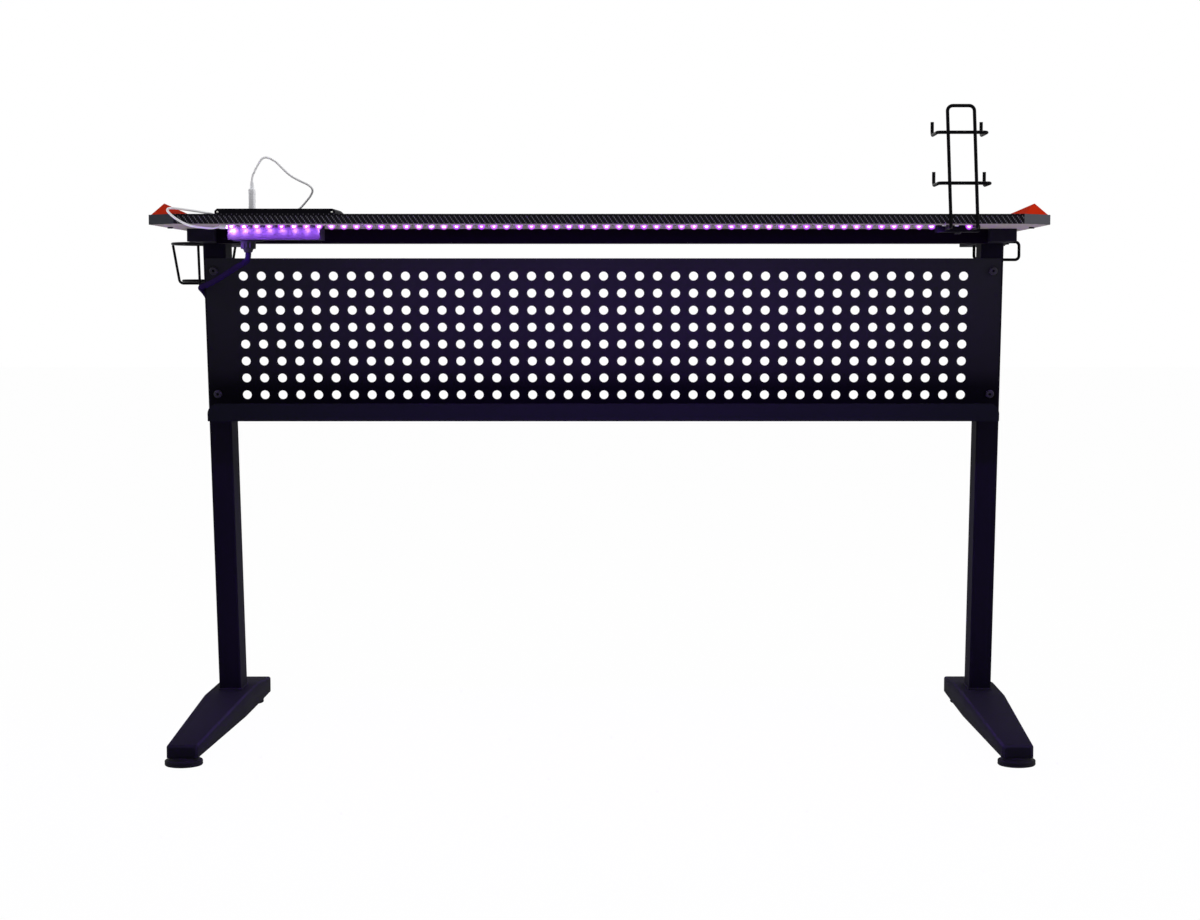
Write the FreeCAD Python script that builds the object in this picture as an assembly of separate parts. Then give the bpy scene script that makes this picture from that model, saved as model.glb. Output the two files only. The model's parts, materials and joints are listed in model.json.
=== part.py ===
import FreeCAD, Part
import math
import os

V = FreeCAD.Vector
os.makedirs("parts", exist_ok=True)

# Gaming desk, in millimetres. While it is drawn, X runs from the middle of the table top to the right,
# Y from the rear edge to the front and Z up from the floor. Export moves the origin to the middle of
# the floor under the whole object, cup holder and headset hook included.

# Table top
top_width = 1200.0
top_depth = 600.0
top_height = 738.0
board_thick = 12.2
laminate_thick = 0.8
band_thick = 0.8
rear_cut_x = 40.0
rear_cut_y = 35.0
front_cut_x = 80.0
front_cut_y = 130.0

# Fits shared by all pieces
overrun = 2.0
fit_gap = 0.05
slip_gap = 0.3

# Wood screws that rise into the board
screw_r = 2.0
screw_head_r = 3.8
screw_head_h = 2.2
screw_bite = 9.0
drive_r = 1.5
drive_depth = 1.2

# Corner trims
trim_rear_run = 19.0
trim_side_inset = 3.0
trim_side_end = 210.0
trim_apex_x_inset = 22.0
trim_apex_y = 30.0
trim_apex_h = 15.0
trim_screw_inset = 10.0
trim_screw_y = 125.0
trim_screw_bite = 3.5

# Columns, leaning back towards the rear edge
leg_inset = 39.0
column_wide = 32.5
column_deep = 55.0
column_wall = 2.0
column_base_y = 371.0
lean_deg = 7.33
base_plate_thick = 6.0
base_plate_gap = 1.2
column_bolt_r = 4.0
column_bolt_head_r = 7.0
column_bolt_head_h = 5.0
column_bolt_pitch = 30.0

# Feet
foot_rear_y = 12.0
foot_bend_y = 330.0
foot_flat_end_y = 440.0
foot_front_y = 556.0
foot_rear_wide = 42.0
foot_mid_wide = 62.0
foot_front_wide = 61.0
foot_rear_top = 29.0
foot_top = 44.0
foot_front_top = 34.5
foot_low = 11.5
foot_wall = 2.0
foot_edge_cut = 3.0
boss_r = 12.0

# Levelling glides
glide_rear_y = 25.0
glide_front_y = 515.0
glide_disc_r = 25.5
glide_disc_h = 8.0
glide_collar_r = 20.0
glide_edge_cut = 1.5
stud_r = 4.0
stud_seat = 4.0
stud_length = 20.0
stud_room = 1.0
glide_nut_r = 7.0
glide_nut_h = 10.0

# Arms under the top, and the beam between them
arm_wide = 38.0
arm_high = 18.0
arm_wall = 2.0
arm_rear_y = 190.0
arm_front_gap = 100.0
arm_cap_thick = 2.0
arm_cap_plug = 10.0
arm_screw_count = 3
arm_screw_margin = 45.0
arm_access_r = 6.0
beam_rear_y = 205.0
beam_deep = 40.0
beam_high = 20.0
beam_wall = 1.5
bracket_leg = 32.0
bracket_thick = 2.0
bracket_high = 14.0
beam_bolt_r = 2.5
beam_bolt_head_r = 4.5
beam_bolt_head_h = 3.0
beam_bolt_out = 19.0
beam_bolt_reach = 7.0

# Perforated panel and cable tray, measured along the slope of the columns
panel_past_leg = 13.0
panel_drop = 21.5
panel_tall = 229.0
panel_thick = 1.5
hole_margin = 45.0
hole_rows = 8
hole_pitch_x = 26.0
hole_pitch_z = 24.8
hole_up = 29.7
hole_r = 6.5
panel_bolt_out = 1.5
panel_bolt_up = 31.0
panel_bolt_down = 18.0
panel_bolt_r = 3.0
panel_bolt_head_r = 6.0
panel_bolt_head_h = 3.2
panel_bolt_drive_r = 2.0
panel_bolt_drive_depth = 2.0
panel_bolt_length = 10.0
rivet_nut_r = 4.5
rivet_nut_length = 12.0
tray_short = 3.6
tray_deep = 45.0
tray_lip = 24.0
tray_lip_round = 15.0

# Desktop charger box
body_inset = 102.0
body_wide = 123.0
body_rear_y = 50.0
body_deep = 50.0
body_below = 19.4
body_wall = 4.0
cutout_gap = 0.4
bezel_past_body = 13.0
bezel_wide = 160.0
bezel_rear_y = 27.0
bezel_deep = 85.0
bezel_high = 8.0
bezel_edge_x = 3.5
bezel_edge_z = 3.0
bezel_screw_inset = 6.5
bezel_screw_y = 39.0
bezel_screw_r = 1.3
bezel_screw_head_r = 2.3
bezel_screw_head_h = 1.2
bezel_screw_length = 16.0
plate_thick = 4.0
plate_ledge = 2.0
port_first_in = 29.0
port_pitch = 28.0
port_wide = 5.7
port_long = 13.1
port_wall = 0.4
port_deep = 14.0
tongue_thick = 1.5
tongue_long = 10.4
tongue_high = 9.0
tongue_off = 0.9
circuit_thick = 1.6
circuit_gap = 2.0
post_r = 3.0
post_inset = 5.0
converter_wide = 50.0
converter_deep = 28.0
converter_high = 14.0
converter_in = 73.0
converter_edge = 2.0

# Gland under the charger box
gland_in = 24.0
gland_y = 70.0
gland_ear_wide = 40.0
gland_ear_deep = 16.0
gland_ear_h = 1.5
gland_r = 10.35
gland_h = 10.5
gland_collar_r = 7.0
gland_collar_tip_r = 5.4
gland_collar_h = 4.6

# Mains lead and its plug
lead_r = 4.0
mains_run_drop = 205.0
mains_run_low = 150.0
mains_run_off = 5.0
mains_end_in = 25.0
mains_end_y = 640.0
mains_end_z = 4.5
plug_neck_long = 14.0
plug_neck_r = 4.4
plug_wide = 26.0
plug_high = 9.0
plug_long = 31.0
plug_edge = 3.0
pin_r = 2.0
pin_long = 19.0
pin_seat = 6.0
pin_pitch = 19.0

# Light strip under the rear edge
strip_left_inset = 103.0
strip_right_inset = 93.0
strip_y = 40.0
strip_wide = 10.0
strip_thick = 0.4
chip_margin = 6.0
chip_pitch = 16.67
chip_side = 5.0
chip_thick = 1.4
sleeve_long = 10.0
sleeve_wide = 10.0
sleeve_high = 5.4
led_lead_r = 1.5

# Plug of the strip's lead
usb_wide = 7.6
usb_long = 16.0
usb_high = 30.0
usb_edge = 1.8
usb_stand_off = 2.0
relief_h = 10.0
relief_r = 3.2
relief_tip_r = 2.2
shell_wide = 4.5
shell_long = 12.0
shell_wall = 0.3
shell_in = 9.0

# Wire rack on the rear edge
wire_r = 2.3
rack_inset = 137.0
rack_wide = 35.3
rack_rise = 141.0
rack_shift = 6.3
rack_off = 2.7
rack_drop = 4.5
rack_low_bend = 6.0
rack_top_bend = 7.0
rack_under_y = 78.0
fork_upper_rise = 106.7
fork_upper_past = (18.3, 11.9)
fork_lower_rise = 40.3
fork_lower_past = (15.7, 16.7)
fork_reach = 58.0
fork_tip = 17.8
fork_bend = 6.0
clamp_rear_y = 52.0
clamp_front_y = 80.0
clamp_side = 11.0
clamp_high = 9.0
clamp_screw_inset = 8.0

# Cup holder beside the cut left corner
basket_wire_r = 2.0
cup_out = 24.7
cup_front_gap = 55.0
cup_rim_r = 48.5
cup_rim_drop = 12.0
cup_floor_r = 38.5
cup_tall = 61.0
cup_base_in = 6.0
cup_bend = 7.0
cup_plate_thick = 2.0
cup_plate_wide = 30.0
cup_plate_long = 80.0
cup_plate_drop = 15.0
cup_screw_first = 42.0
cup_screw_pitch = 24.0

# Headset hook beside the right edge
hook_wire_r = 2.2
hook_out = 17.1
hook_tip_in = 11.0
hook_front_gap = 200.0
hook_top_drop = 12.8
hook_tall = 26.4
hook_bend = 6.0
mount_gap_x = 2.0
mount_wide = 17.0
mount_deep = 44.0
mount_high = 17.0
mount_screw_pitch = 28.0

# Places worked out from the sizes above
half_width = top_width / 2
under_z = top_height - board_thick - laminate_thick
laminate_z = top_height - laminate_thick
leg_x = half_width - leg_inset
arm_low_z = under_z - arm_high
arm_front_y = top_depth - arm_front_gap
lean = math.radians(lean_deg)
lean_tan = math.tan(lean)
column_span = column_deep / math.cos(lean)
column_top_y = column_base_y - (arm_low_z - foot_top) * lean_tan
sides = (("left", -1), ("right", 1))
panel_half = leg_x + panel_past_leg
panel_high = (arm_low_z - foot_top) / math.cos(lean) - panel_drop
panel_low = panel_high - panel_tall
hole_columns = 2 * math.floor((panel_half - hole_margin) / hole_pitch_x) + 1
hole_low = panel_low + hole_up
panel_bolt_x = leg_x + panel_bolt_out
panel_bolt_low = panel_low + panel_bolt_up
panel_bolt_high = panel_high - panel_bolt_down
tray_half = panel_half - tray_short
body_left = body_inset - half_width
bezel_left = body_left - bezel_past_body
port_first_x = body_left + port_first_in
converter_x = body_left + converter_in
gland_x = body_left + gland_in
body_low_z = under_z - body_below
body_mid_y = body_rear_y + body_deep / 2
plate_top_z = top_height + plate_thick
strip_left = strip_left_inset - half_width
strip_right = half_width - strip_right_inset
chip_count = math.floor((strip_right - strip_left - chip_margin * 2) / chip_pitch) + 1
rack_left_x = half_width - rack_inset
rack_right_x = rack_left_x + rack_wide
rack_top = top_height + rack_rise
cup_x = -half_width - cup_out
cup_y = top_depth - cup_front_gap
cup_rim_z = under_z - cup_rim_drop
cup_floor_z = cup_rim_z - cup_tall
cup_reach = cup_rim_r + basket_wire_r
hook_out_x = half_width + hook_out
hook_tip_x = leg_x - hook_tip_in
hook_y = top_depth - hook_front_gap
hook_top_z = under_z - hook_top_drop
hook_low_z = hook_top_z - hook_tall
origin_x = (hook_out_x + hook_wire_r + cup_x - cup_reach) / 2
origin_y = (top_depth - rack_off - wire_r) / 2


def box(x0, x1, y0, y1, z0, z1):
    return Part.makeBox(x1 - x0, y1 - y0, z1 - z0, V(x0, y0, z0))


def rod(r, base, tip):
    axis = tip - base
    return Part.makeCylinder(r, axis.Length, base, axis)


def upright(r, x, y, z0, z1):
    return rod(r, V(x, y, z0), V(x, y, z1))


def polygon(points):
    return Part.Face(Part.makePolygon(points + points[:1]))


def fuse(shapes):
    return shapes[0].multiFuse(shapes[1:]).removeSplitter()


def export(name, *shapes):
    solids = [solid for shape in shapes for solid in shape.Solids]
    whole = solids[0] if len(solids) == 1 else Part.makeCompound(solids)
    whole = whole.copy()
    whole.translate(V(-origin_x, -origin_y, 0))
    whole.exportStep("parts/" + name + ".step")


def rounded(block, r, length):
    # Rounds the edges of a block that run along the given length
    edges = [e for e in block.Edges if abs(e.Length - length) < fit_gap]
    return block.makeFillet(r, edges)


def hexagon(x, y, z0, z1, r):
    corners = [V(x + r * math.cos(k * math.pi / 3), y + r * math.sin(k * math.pi / 3), z0) for k in range(6)]
    return polygon(corners).extrude(V(0, 0, z1 - z0))


def arc_path(points, radii):
    # Straight runs, with a tangent arc of the given radius at each inner point
    edges = []
    start = points[0]
    for before, corner, after, r in zip(points, points[1:], points[2:], radii):
        back = (before - corner).normalize()
        on = (after - corner).normalize()
        half_turn = (math.pi - back.getAngle(on)) / 2
        reach = r * math.tan(half_turn)
        first, last = corner + back * reach, corner + on * reach
        crown = corner + (back + on).normalize() * (r / math.cos(half_turn) - r)
        edges.append(Part.LineSegment(start, first).toShape())
        edges.append(Part.Arc(first, crown, last).toShape())
        start = last
    edges.append(Part.LineSegment(start, points[-1]).toShape())
    return Part.Wire(edges)


def tube(points, r, radii):
    ring = Part.Wire(Part.makeCircle(r, points[0], points[1] - points[0]))
    return Part.Solid(arc_path(points, radii).makePipeShell([ring], True, False))


def cord(name, points, r):
    # Each arc is as large as its two runs allow
    arc_share = 0.45
    radii = []
    for before, corner, after in zip(points, points[1:], points[2:]):
        back, on = before - corner, after - corner
        half_turn = (math.pi - back.getAngle(on)) / 2
        radii.append(arc_share * min(back.Length, on.Length) / math.tan(half_turn))
    solid = tube(points, r, radii)
    length = arc_path(points, radii).Length
    print(name, "length", round(length), "radii", [round(radius) for radius in radii])
    print(name, "volume over section times length", round(solid.Volume / (math.pi * r * r * length), 4))
    export(name, solid)


def screw_up(x, y, seat_z, length):
    # Pan head below its seat with a socket in it, and a shank that rises from it
    low = seat_z - screw_head_h
    head = upright(screw_head_r, x, y, low, seat_z)
    shank = upright(screw_r, x, y, seat_z - screw_head_h / 2, seat_z + length)
    return fuse([head, shank]).cut(hexagon(x, y, low - overrun, low + drive_depth, drive_r))


def screw_way(x, y, z0, z1):
    return upright(screw_r + fit_gap, x, y, z0, z1)


def tilted(shape):
    # From an upright frame at the column's foot to its leaning rear face
    moved = shape.copy()
    foot = V(0, column_base_y, foot_top)
    moved.translate(foot)
    moved.rotate(foot, V(1, 0, 0), lean_deg)
    return moved


def arm_screw_places(side):
    pitch = (arm_front_y - arm_rear_y - arm_screw_margin * 2) / (arm_screw_count - 1)
    return [(side * leg_x, arm_rear_y + arm_screw_margin + pitch * k) for k in range(arm_screw_count)]


def trim_screw_place(side):
    return side * (half_width - trim_screw_inset), trim_screw_y


def clamp_screw_places():
    middle = (rack_left_x + rack_right_x) / 2
    return [(middle, clamp_rear_y + clamp_screw_inset), (middle, clamp_front_y - clamp_screw_inset)]


def cup_screw_places():
    first = cup_x + cup_reach + fit_gap + cup_screw_first
    return [(first, cup_y), (first + cup_screw_pitch, cup_y)]


def mount_left():
    return leg_x + arm_wide / 2 + mount_gap_x


def mount_screw_places():
    x = mount_left() + mount_wide / 2
    return [(x, hook_y - mount_screw_pitch / 2), (x, hook_y + mount_screw_pitch / 2)]


def bezel_screw_places():
    first = bezel_left + bezel_screw_inset
    last = bezel_left + bezel_wide - bezel_screw_inset
    return [(first, bezel_screw_y), (last, bezel_screw_y)]


def top_outline(z, inset):
    half_rear = half_width - rear_cut_x
    half_front = half_width - front_cut_x
    cut_y = top_depth - front_cut_y
    right = [(half_rear, 0), (half_width, rear_cut_y), (half_width, cut_y), (half_front, top_depth)]
    left = [(-x, y) for x, y in reversed(right)]
    face = polygon([V(x, y, z) for x, y in right + left])
    return face.makeOffset2D(-inset) if inset else face


def table_top():
    body_hole = box(
        body_left - cutout_gap, body_left + body_wide + cutout_gap,
        body_rear_y - cutout_gap, body_rear_y + body_deep + cutout_gap,
        under_z - overrun, top_height + overrun)
    bites = [place for _, side in sides for place in arm_screw_places(side)]
    bites += clamp_screw_places() + cup_screw_places() + mount_screw_places()
    blind = [screw_way(x, y, under_z - overrun, under_z + screw_bite + fit_gap) for x, y in bites]
    through = [screw_way(*trim_screw_place(side), under_z - overrun, top_height + overrun)
               for _, side in sides]
    through += [upright(bezel_screw_r + fit_gap, x, y, under_z - overrun, top_height + overrun)
                for x, y in bezel_screw_places()]
    rise = V(0, 0, board_thick)
    core = top_outline(under_z, band_thick).extrude(rise)
    export("tabletop_board", core.cut(blind + through + [body_hole]))
    export("edge_band", top_outline(under_z, 0).extrude(rise).cut(core))
    sheet = top_outline(laminate_z, 0).extrude(V(0, 0, laminate_thick))
    export("top_laminate", sheet.cut(through + [body_hole]))


def corner_trims():
    # A low four-sided pyramid on each rear corner
    rear_x = half_width - rear_cut_x
    side_x = half_width - trim_side_inset
    foot = [(rear_x - trim_rear_run, 0), (rear_x, 0), (side_x, rear_cut_y), (side_x, trim_side_end)]
    for name, side in sides:
        ring = [V(side * x, y, top_height) for x, y in foot]
        apex = V(side * (half_width - trim_apex_x_inset), trim_apex_y, top_height + trim_apex_h)
        faces = [polygon(ring)]
        faces += [polygon([a, b, apex]) for a, b in zip(ring, ring[1:] + ring[:1])]
        wedge = Part.Solid(Part.Shell(faces))
        if wedge.Volume < 0:
            wedge.reverse()
        x, y = trim_screw_place(side)
        well = screw_way(x, y, top_height - overrun, top_height + trim_screw_bite + fit_gap)
        export("corner_trim_" + name, wedge.cut(well))


def wood_screws():
    screws = []
    for _, side in sides:
        screws += [screw_up(x, y, under_z - arm_wall, arm_wall + screw_bite)
                   for x, y in arm_screw_places(side)]
        reach = board_thick + laminate_thick + trim_screw_bite
        screws.append(screw_up(*trim_screw_place(side), under_z, reach))
    for places, thick in ((clamp_screw_places(), clamp_high), (cup_screw_places(), cup_plate_thick),
                          (mount_screw_places(), mount_high)):
        screws += [screw_up(x, y, under_z - thick, thick + screw_bite) for x, y in places]
    export("wood_screws", *screws)


def column_bolt_places(side):
    middle = column_base_y + column_span / 2
    return [(side * leg_x, middle - column_bolt_pitch / 2), (side * leg_x, middle + column_bolt_pitch / 2)]


def post(x0, inset, over):
    # Leaning post, level at both ends, drawn in by a wall and longer by an overrun
    low_y = column_base_y + over * lean_tan
    high_y = column_top_y - over * lean_tan
    low_z, high_z = foot_top - over, arm_low_z + over
    near, far = inset, column_span - inset
    corners = [(low_y + near, low_z), (low_y + far, low_z), (high_y + far, high_z), (high_y + near, high_z)]
    return polygon([V(x0 + inset, y, z) for y, z in corners]).extrude(V(column_wide - inset * 2, 0, 0))


def columns():
    plates, bolts = [], []
    for name, side in sides:
        x0 = side * leg_x - column_wide / 2
        bolt_x = side * panel_bolt_x
        seats = [tilted(rod(rivet_nut_r + fit_gap, V(bolt_x, -overrun, z), V(bolt_x, column_deep / 2, z)))
                 for z in (panel_bolt_low, panel_bolt_high)]
        export("column_" + name, post(x0, 0, 0).cut([post(x0, column_wall, overrun)] + seats))
        inner = column_wall + base_plate_gap
        top = foot_top + base_plate_thick
        plate = box(x0 + inner, x0 + column_wide - inner, column_base_y + inner,
                    column_base_y + column_span - inner, foot_top, top)
        places = column_bolt_places(side)
        plates.append(plate.cut([upright(column_bolt_r + fit_gap, x, y, foot_top - overrun, top + overrun)
                                 for x, y in places]))
        seat = foot_top - foot_wall
        for x, y in places:
            head = hexagon(x, y, seat - column_bolt_head_h, seat, column_bolt_head_r)
            bolts.append(fuse([head, upright(column_bolt_r, x, y, seat - column_bolt_head_h / 2, top)]))
    export("column_base_plates", *plates)
    export("column_bolts", *bolts)


def foot_loft(x, wall, low):
    stations = [(foot_rear_y + wall, foot_rear_wide, foot_rear_top),
                (foot_bend_y, foot_mid_wide, foot_top),
                (foot_flat_end_y, foot_mid_wide, foot_top),
                (foot_front_y - wall, foot_front_wide, foot_front_top)]
    rings = []
    for y, wide, top in stations:
        half, high, edge = wide / 2 - wall, top - wall, foot_edge_cut
        section = [(-half, low), (half, low), (half, high - edge), (half - edge, high),
                   (edge - half, high), (-half, high - edge)]
        points = [V(x + u, y, z) for u, z in section]
        rings.append(Part.makePolygon(points + points[:1]))
    return Part.makeLoft(rings, True, True)


def feet():
    # Pressed shells, open below, with a boss over each glide
    nuts = []
    glide_ys = (glide_rear_y, glide_front_y)
    nut_top = foot_low + glide_nut_h
    stud_top = stud_seat + stud_length + stud_room
    for name, side in sides:
        x = side * leg_x
        outer = foot_loft(x, 0, foot_low)
        shell = outer.cut(foot_loft(x, foot_wall, foot_low - overrun))
        bosses = [upright(boss_r, x, y, foot_low, foot_top).common(outer) for y in glide_ys]
        holes = [upright(glide_nut_r + fit_gap, x, y, foot_low - overrun, nut_top) for y in glide_ys]
        holes += [upright(stud_r + slip_gap, x, y, foot_low, max(stud_top, nut_top)) for y in glide_ys]
        seat = foot_top - foot_wall
        holes += [upright(column_bolt_r + fit_gap, bx, by, seat - overrun, foot_top + overrun)
                  for bx, by in column_bolt_places(side)]
        export("foot_" + name, fuse([shell] + bosses).cut(holes))
        nuts += [upright(glide_nut_r, x, y, foot_low, nut_top).cut(
            upright(stud_r + fit_gap, x, y, foot_low - overrun, nut_top + overrun)) for y in glide_ys]
    export("glide_nuts", *nuts)


def glides():
    top = foot_low - slip_gap
    edge = glide_edge_cut
    rim = [(0, 0), (glide_disc_r - edge, 0), (glide_disc_r, edge), (glide_disc_r, glide_disc_h - edge),
           (glide_disc_r - edge, glide_disc_h), (glide_collar_r, glide_disc_h), (glide_collar_r, top),
           (0, top)]
    for end, y in (("rear", glide_rear_y), ("front", glide_front_y)):
        for name, side in sides:
            x = side * leg_x
            puck = polygon([V(x + r, y, z) for r, z in rim]).revolve(V(x, y, 0), V(0, 0, 1), 360)
            seat = upright(stud_r + fit_gap, x, y, stud_seat, top + overrun)
            export("glide_" + end + "_" + name, Part.Solid(puck).cut(seat))
            stud = upright(stud_r, x, y, stud_seat, stud_seat + stud_length)
            export("glide_stud_" + end + "_" + name, stud)


def over_column(y):
    return column_top_y - arm_access_r < y < column_top_y + column_span + arm_access_r


def beam_bolt_z():
    return under_z - arm_high / 2


def arms():
    caps = []
    bolt_y = beam_rear_y + beam_deep + beam_bolt_out
    for name, side in sides:
        x0, x1 = side * leg_x - arm_wide / 2, side * leg_x + arm_wide / 2
        hollow = box(x0 + arm_wall, x1 - arm_wall, arm_rear_y - overrun, arm_front_y + overrun,
                     arm_low_z + arm_wall, under_z - arm_wall)
        ways = [screw_way(x, y, under_z - arm_wall - overrun / 2, under_z + overrun)
                for x, y in arm_screw_places(side)]
        ways += [upright(arm_access_r, x, y, arm_low_z - overrun, arm_low_z + arm_wall + overrun / 2)
                 for x, y in arm_screw_places(side) if not over_column(y)]
        inner_x = side * (leg_x - arm_wide / 2)
        ways.append(rod(beam_bolt_r + fit_gap, V(inner_x - side * overrun, bolt_y, beam_bolt_z()),
                        V(inner_x + side * (arm_wall + overrun), bolt_y, beam_bolt_z())))
        export("arm_" + name, box(x0, x1, arm_rear_y, arm_front_y, arm_low_z, under_z).cut([hollow] + ways))
        inset = arm_wall + slip_gap
        for end, out in ((arm_rear_y, -1), (arm_front_y, 1)):
            lid_ys = sorted((end, end + out * arm_cap_thick))
            plug_ys = sorted((end - out * arm_cap_plug, end + out * arm_cap_thick / 2))
            lid = box(x0, x1, *lid_ys, arm_low_z, under_z)
            plug = box(x0 + inset, x1 - inset, *plug_ys, arm_low_z + inset, under_z - inset)
            caps.append(fuse([lid, plug]))
    export("arm_caps", *caps)


def rear_beam():
    half = leg_x - arm_wide / 2
    far_y = beam_rear_y + beam_deep
    low = under_z - beam_high
    bolt_x = half - beam_bolt_out
    bolt_y = far_y + beam_bolt_out
    z = beam_bolt_z()
    hollow = box(-half - overrun, half + overrun, beam_rear_y + beam_wall, far_y - beam_wall,
                 low + beam_wall, under_z - beam_wall)
    ways, brackets, bolts = [], [], []
    for _, side in sides:
        in_x = side * (half - bracket_thick)
        along_y = rod(beam_bolt_r + fit_gap, V(side * bolt_x, far_y - beam_wall - overrun, z),
                      V(side * bolt_x, far_y + bracket_thick + overrun, z))
        along_x = rod(beam_bolt_r + fit_gap, V(in_x - side * overrun, bolt_y, z), V(side * half, bolt_y, z))
        ways.append(along_y)
        z0, z1 = z - bracket_high / 2, z + bracket_high / 2
        foot = box(*sorted((side * half, side * (half - bracket_leg))), far_y, far_y + bracket_thick, z0, z1)
        wing = box(*sorted((side * half, in_x)), far_y, far_y + bracket_leg, z0, z1)
        brackets.append(fuse([foot, wing]).cut([along_y, along_x]))
        for seat, axis in ((V(side * bolt_x, far_y + bracket_thick, z), V(0, -1, 0)),
                           (V(in_x, bolt_y, z), V(side, 0, 0))):
            head = rod(beam_bolt_head_r, seat, seat - axis * beam_bolt_head_h)
            bolts.append(fuse([head, rod(beam_bolt_r, seat - axis * (beam_bolt_head_h / 2),
                                         seat + axis * beam_bolt_reach)]))
    export("rear_beam", box(-half, half, beam_rear_y, far_y, low, under_z).cut([hollow] + ways))
    export("beam_brackets", *brackets)
    export("beam_bolts", *bolts)


def ring_wire(r, x, z):
    return Part.Wire(Part.makeCircle(r, V(x, 0, z), V(0, 1, 0)))


def modesty_panel():
    corners = [V(-panel_half, 0, panel_low), V(panel_half, 0, panel_low),
               V(panel_half, 0, panel_high), V(-panel_half, 0, panel_high)]
    bolt_places = [(side * panel_bolt_x, z) for _, side in sides for z in (panel_bolt_low, panel_bolt_high)]
    wires = [Part.makePolygon(corners + corners[:1])]
    first_x = -hole_pitch_x * (hole_columns - 1) / 2
    wires += [ring_wire(hole_r, first_x + hole_pitch_x * column, hole_low + hole_pitch_z * row)
              for row in range(hole_rows) for column in range(hole_columns)]
    wires += [ring_wire(panel_bolt_r + fit_gap, x, z) for x, z in bolt_places]
    sheet = Part.Face(wires, "Part::FaceMakerBullseye").extrude(V(0, -panel_thick, 0))
    export("modesty_panel", tilted(sheet))
    bolts, nuts = [], []
    for x, z in bolt_places:
        out = -panel_thick - panel_bolt_head_h
        head = rod(panel_bolt_head_r, V(x, out, z), V(x, -panel_thick, z))
        head = head.makeFillet(panel_bolt_head_h / 2, [head.Edges[k] for k in (0, 2)
                                                       if head.Edges[k].CenterOfMass.y < out + fit_gap])
        shank = rod(panel_bolt_r, V(x, -panel_thick - panel_bolt_head_h / 2, z), V(x, panel_bolt_length, z))
        drive = rod(panel_bolt_drive_r, V(x, out - overrun, z), V(x, out + panel_bolt_drive_depth, z))
        bolts.append(tilted(fuse([head, shank]).cut(drive)))
        sleeve = rod(rivet_nut_r, V(x, 0, z), V(x, rivet_nut_length, z))
        bore = rod(panel_bolt_r + fit_gap, V(x, -overrun, z), V(x, rivet_nut_length + overrun, z))
        nuts.append(tilted(sleeve.cut(bore)))
    export("panel_bolts", *bolts)
    export("rivet_nuts", *nuts)


def cable_tray():
    # A sheet folded out from the panel's lower edge, with its lip's upper corners rounded
    low = panel_low - panel_thick
    out = -panel_thick - tray_deep
    lip_top = panel_low + tray_lip
    floor = box(-tray_half, tray_half, out, 0, low, panel_low)
    wall = box(-tray_half, tray_half, out, out + panel_thick, low, lip_top)
    corners = [edge for edge in wall.Edges
               if abs(edge.Length - panel_thick) < fit_gap and edge.CenterOfMass.z > lip_top - fit_gap]
    export("cable_tray", tilted(fuse([floor, wall.makeFillet(tray_lip_round, corners)])))


def plate_box():
    inset = body_wall - plate_ledge
    return (body_left + inset, body_left + body_wide - inset,
            body_rear_y + inset, body_rear_y + body_deep - inset)


def port_centres():
    return [port_first_x, port_first_x + port_pitch]


def charger_case():
    x1, y1 = body_left + body_wide, body_rear_y + body_deep
    floor_z = body_low_z + body_wall
    shell = box(body_left, x1, body_rear_y, y1, body_low_z, top_height)
    hollow = box(body_left + body_wall, x1 - body_wall, body_rear_y + body_wall, y1 - body_wall,
                 floor_z, top_height + overrun)
    lead_way = upright(lead_r + fit_gap, gland_x, gland_y, body_low_z - overrun, floor_z + overrun)
    post_top = plate_top_z - port_deep - circuit_thick
    inset = body_wall + post_inset
    posts = [upright(post_r, x, y, body_low_z + body_wall / 2, post_top)
             for x in (body_left + inset, x1 - inset) for y in (body_rear_y + inset, y1 - inset)]
    export("charger_body", fuse([shell.cut(hollow)] + posts).cut(lead_way))
    bezel_top = top_height + bezel_high
    bezel_right = bezel_left + bezel_wide
    shoulder = bezel_top - bezel_edge_z
    profile = [(bezel_left, top_height), (bezel_right, top_height), (bezel_right, shoulder),
               (bezel_right - bezel_edge_x, bezel_top), (bezel_left + bezel_edge_x, bezel_top),
               (bezel_left, shoulder)]
    frame = polygon([V(x, bezel_rear_y, z) for x, z in profile]).extrude(V(0, bezel_deep, 0))
    px0, px1, py0, py1 = plate_box()
    window = box(px0 - slip_gap, px1 + slip_gap, py0 - slip_gap, py1 + slip_gap,
                 top_height - overrun, bezel_top + overrun)
    ways, screws = [], []
    for x, y in bezel_screw_places():
        crown = V(x, y, bezel_top)
        down = V(0, 0, -1)
        ways.append(upright(bezel_screw_r + fit_gap, x, y, top_height - overrun, bezel_top + overrun))
        ways.append(Part.makeCone(bezel_screw_head_r + fit_gap, bezel_screw_r + fit_gap, bezel_screw_head_h,
                                  crown, down))
        head = Part.makeCone(bezel_screw_head_r, bezel_screw_r, bezel_screw_head_h, crown, down)
        screws.append(fuse([head, upright(bezel_screw_r, x, y, bezel_top - bezel_screw_length, bezel_top)]))
    export("charger_bezel", frame.cut([window] + ways))
    export("bezel_screws", *screws)
    half_x, half_y = port_wide / 2, port_long / 2
    holes = [box(x - half_x, x + half_x, body_mid_y - half_y, body_mid_y + half_y,
                 top_height - overrun, plate_top_z + overrun) for x in port_centres()]
    export("port_plate", box(px0, px1, py0, py1, top_height, plate_top_z).cut(holes))


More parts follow.
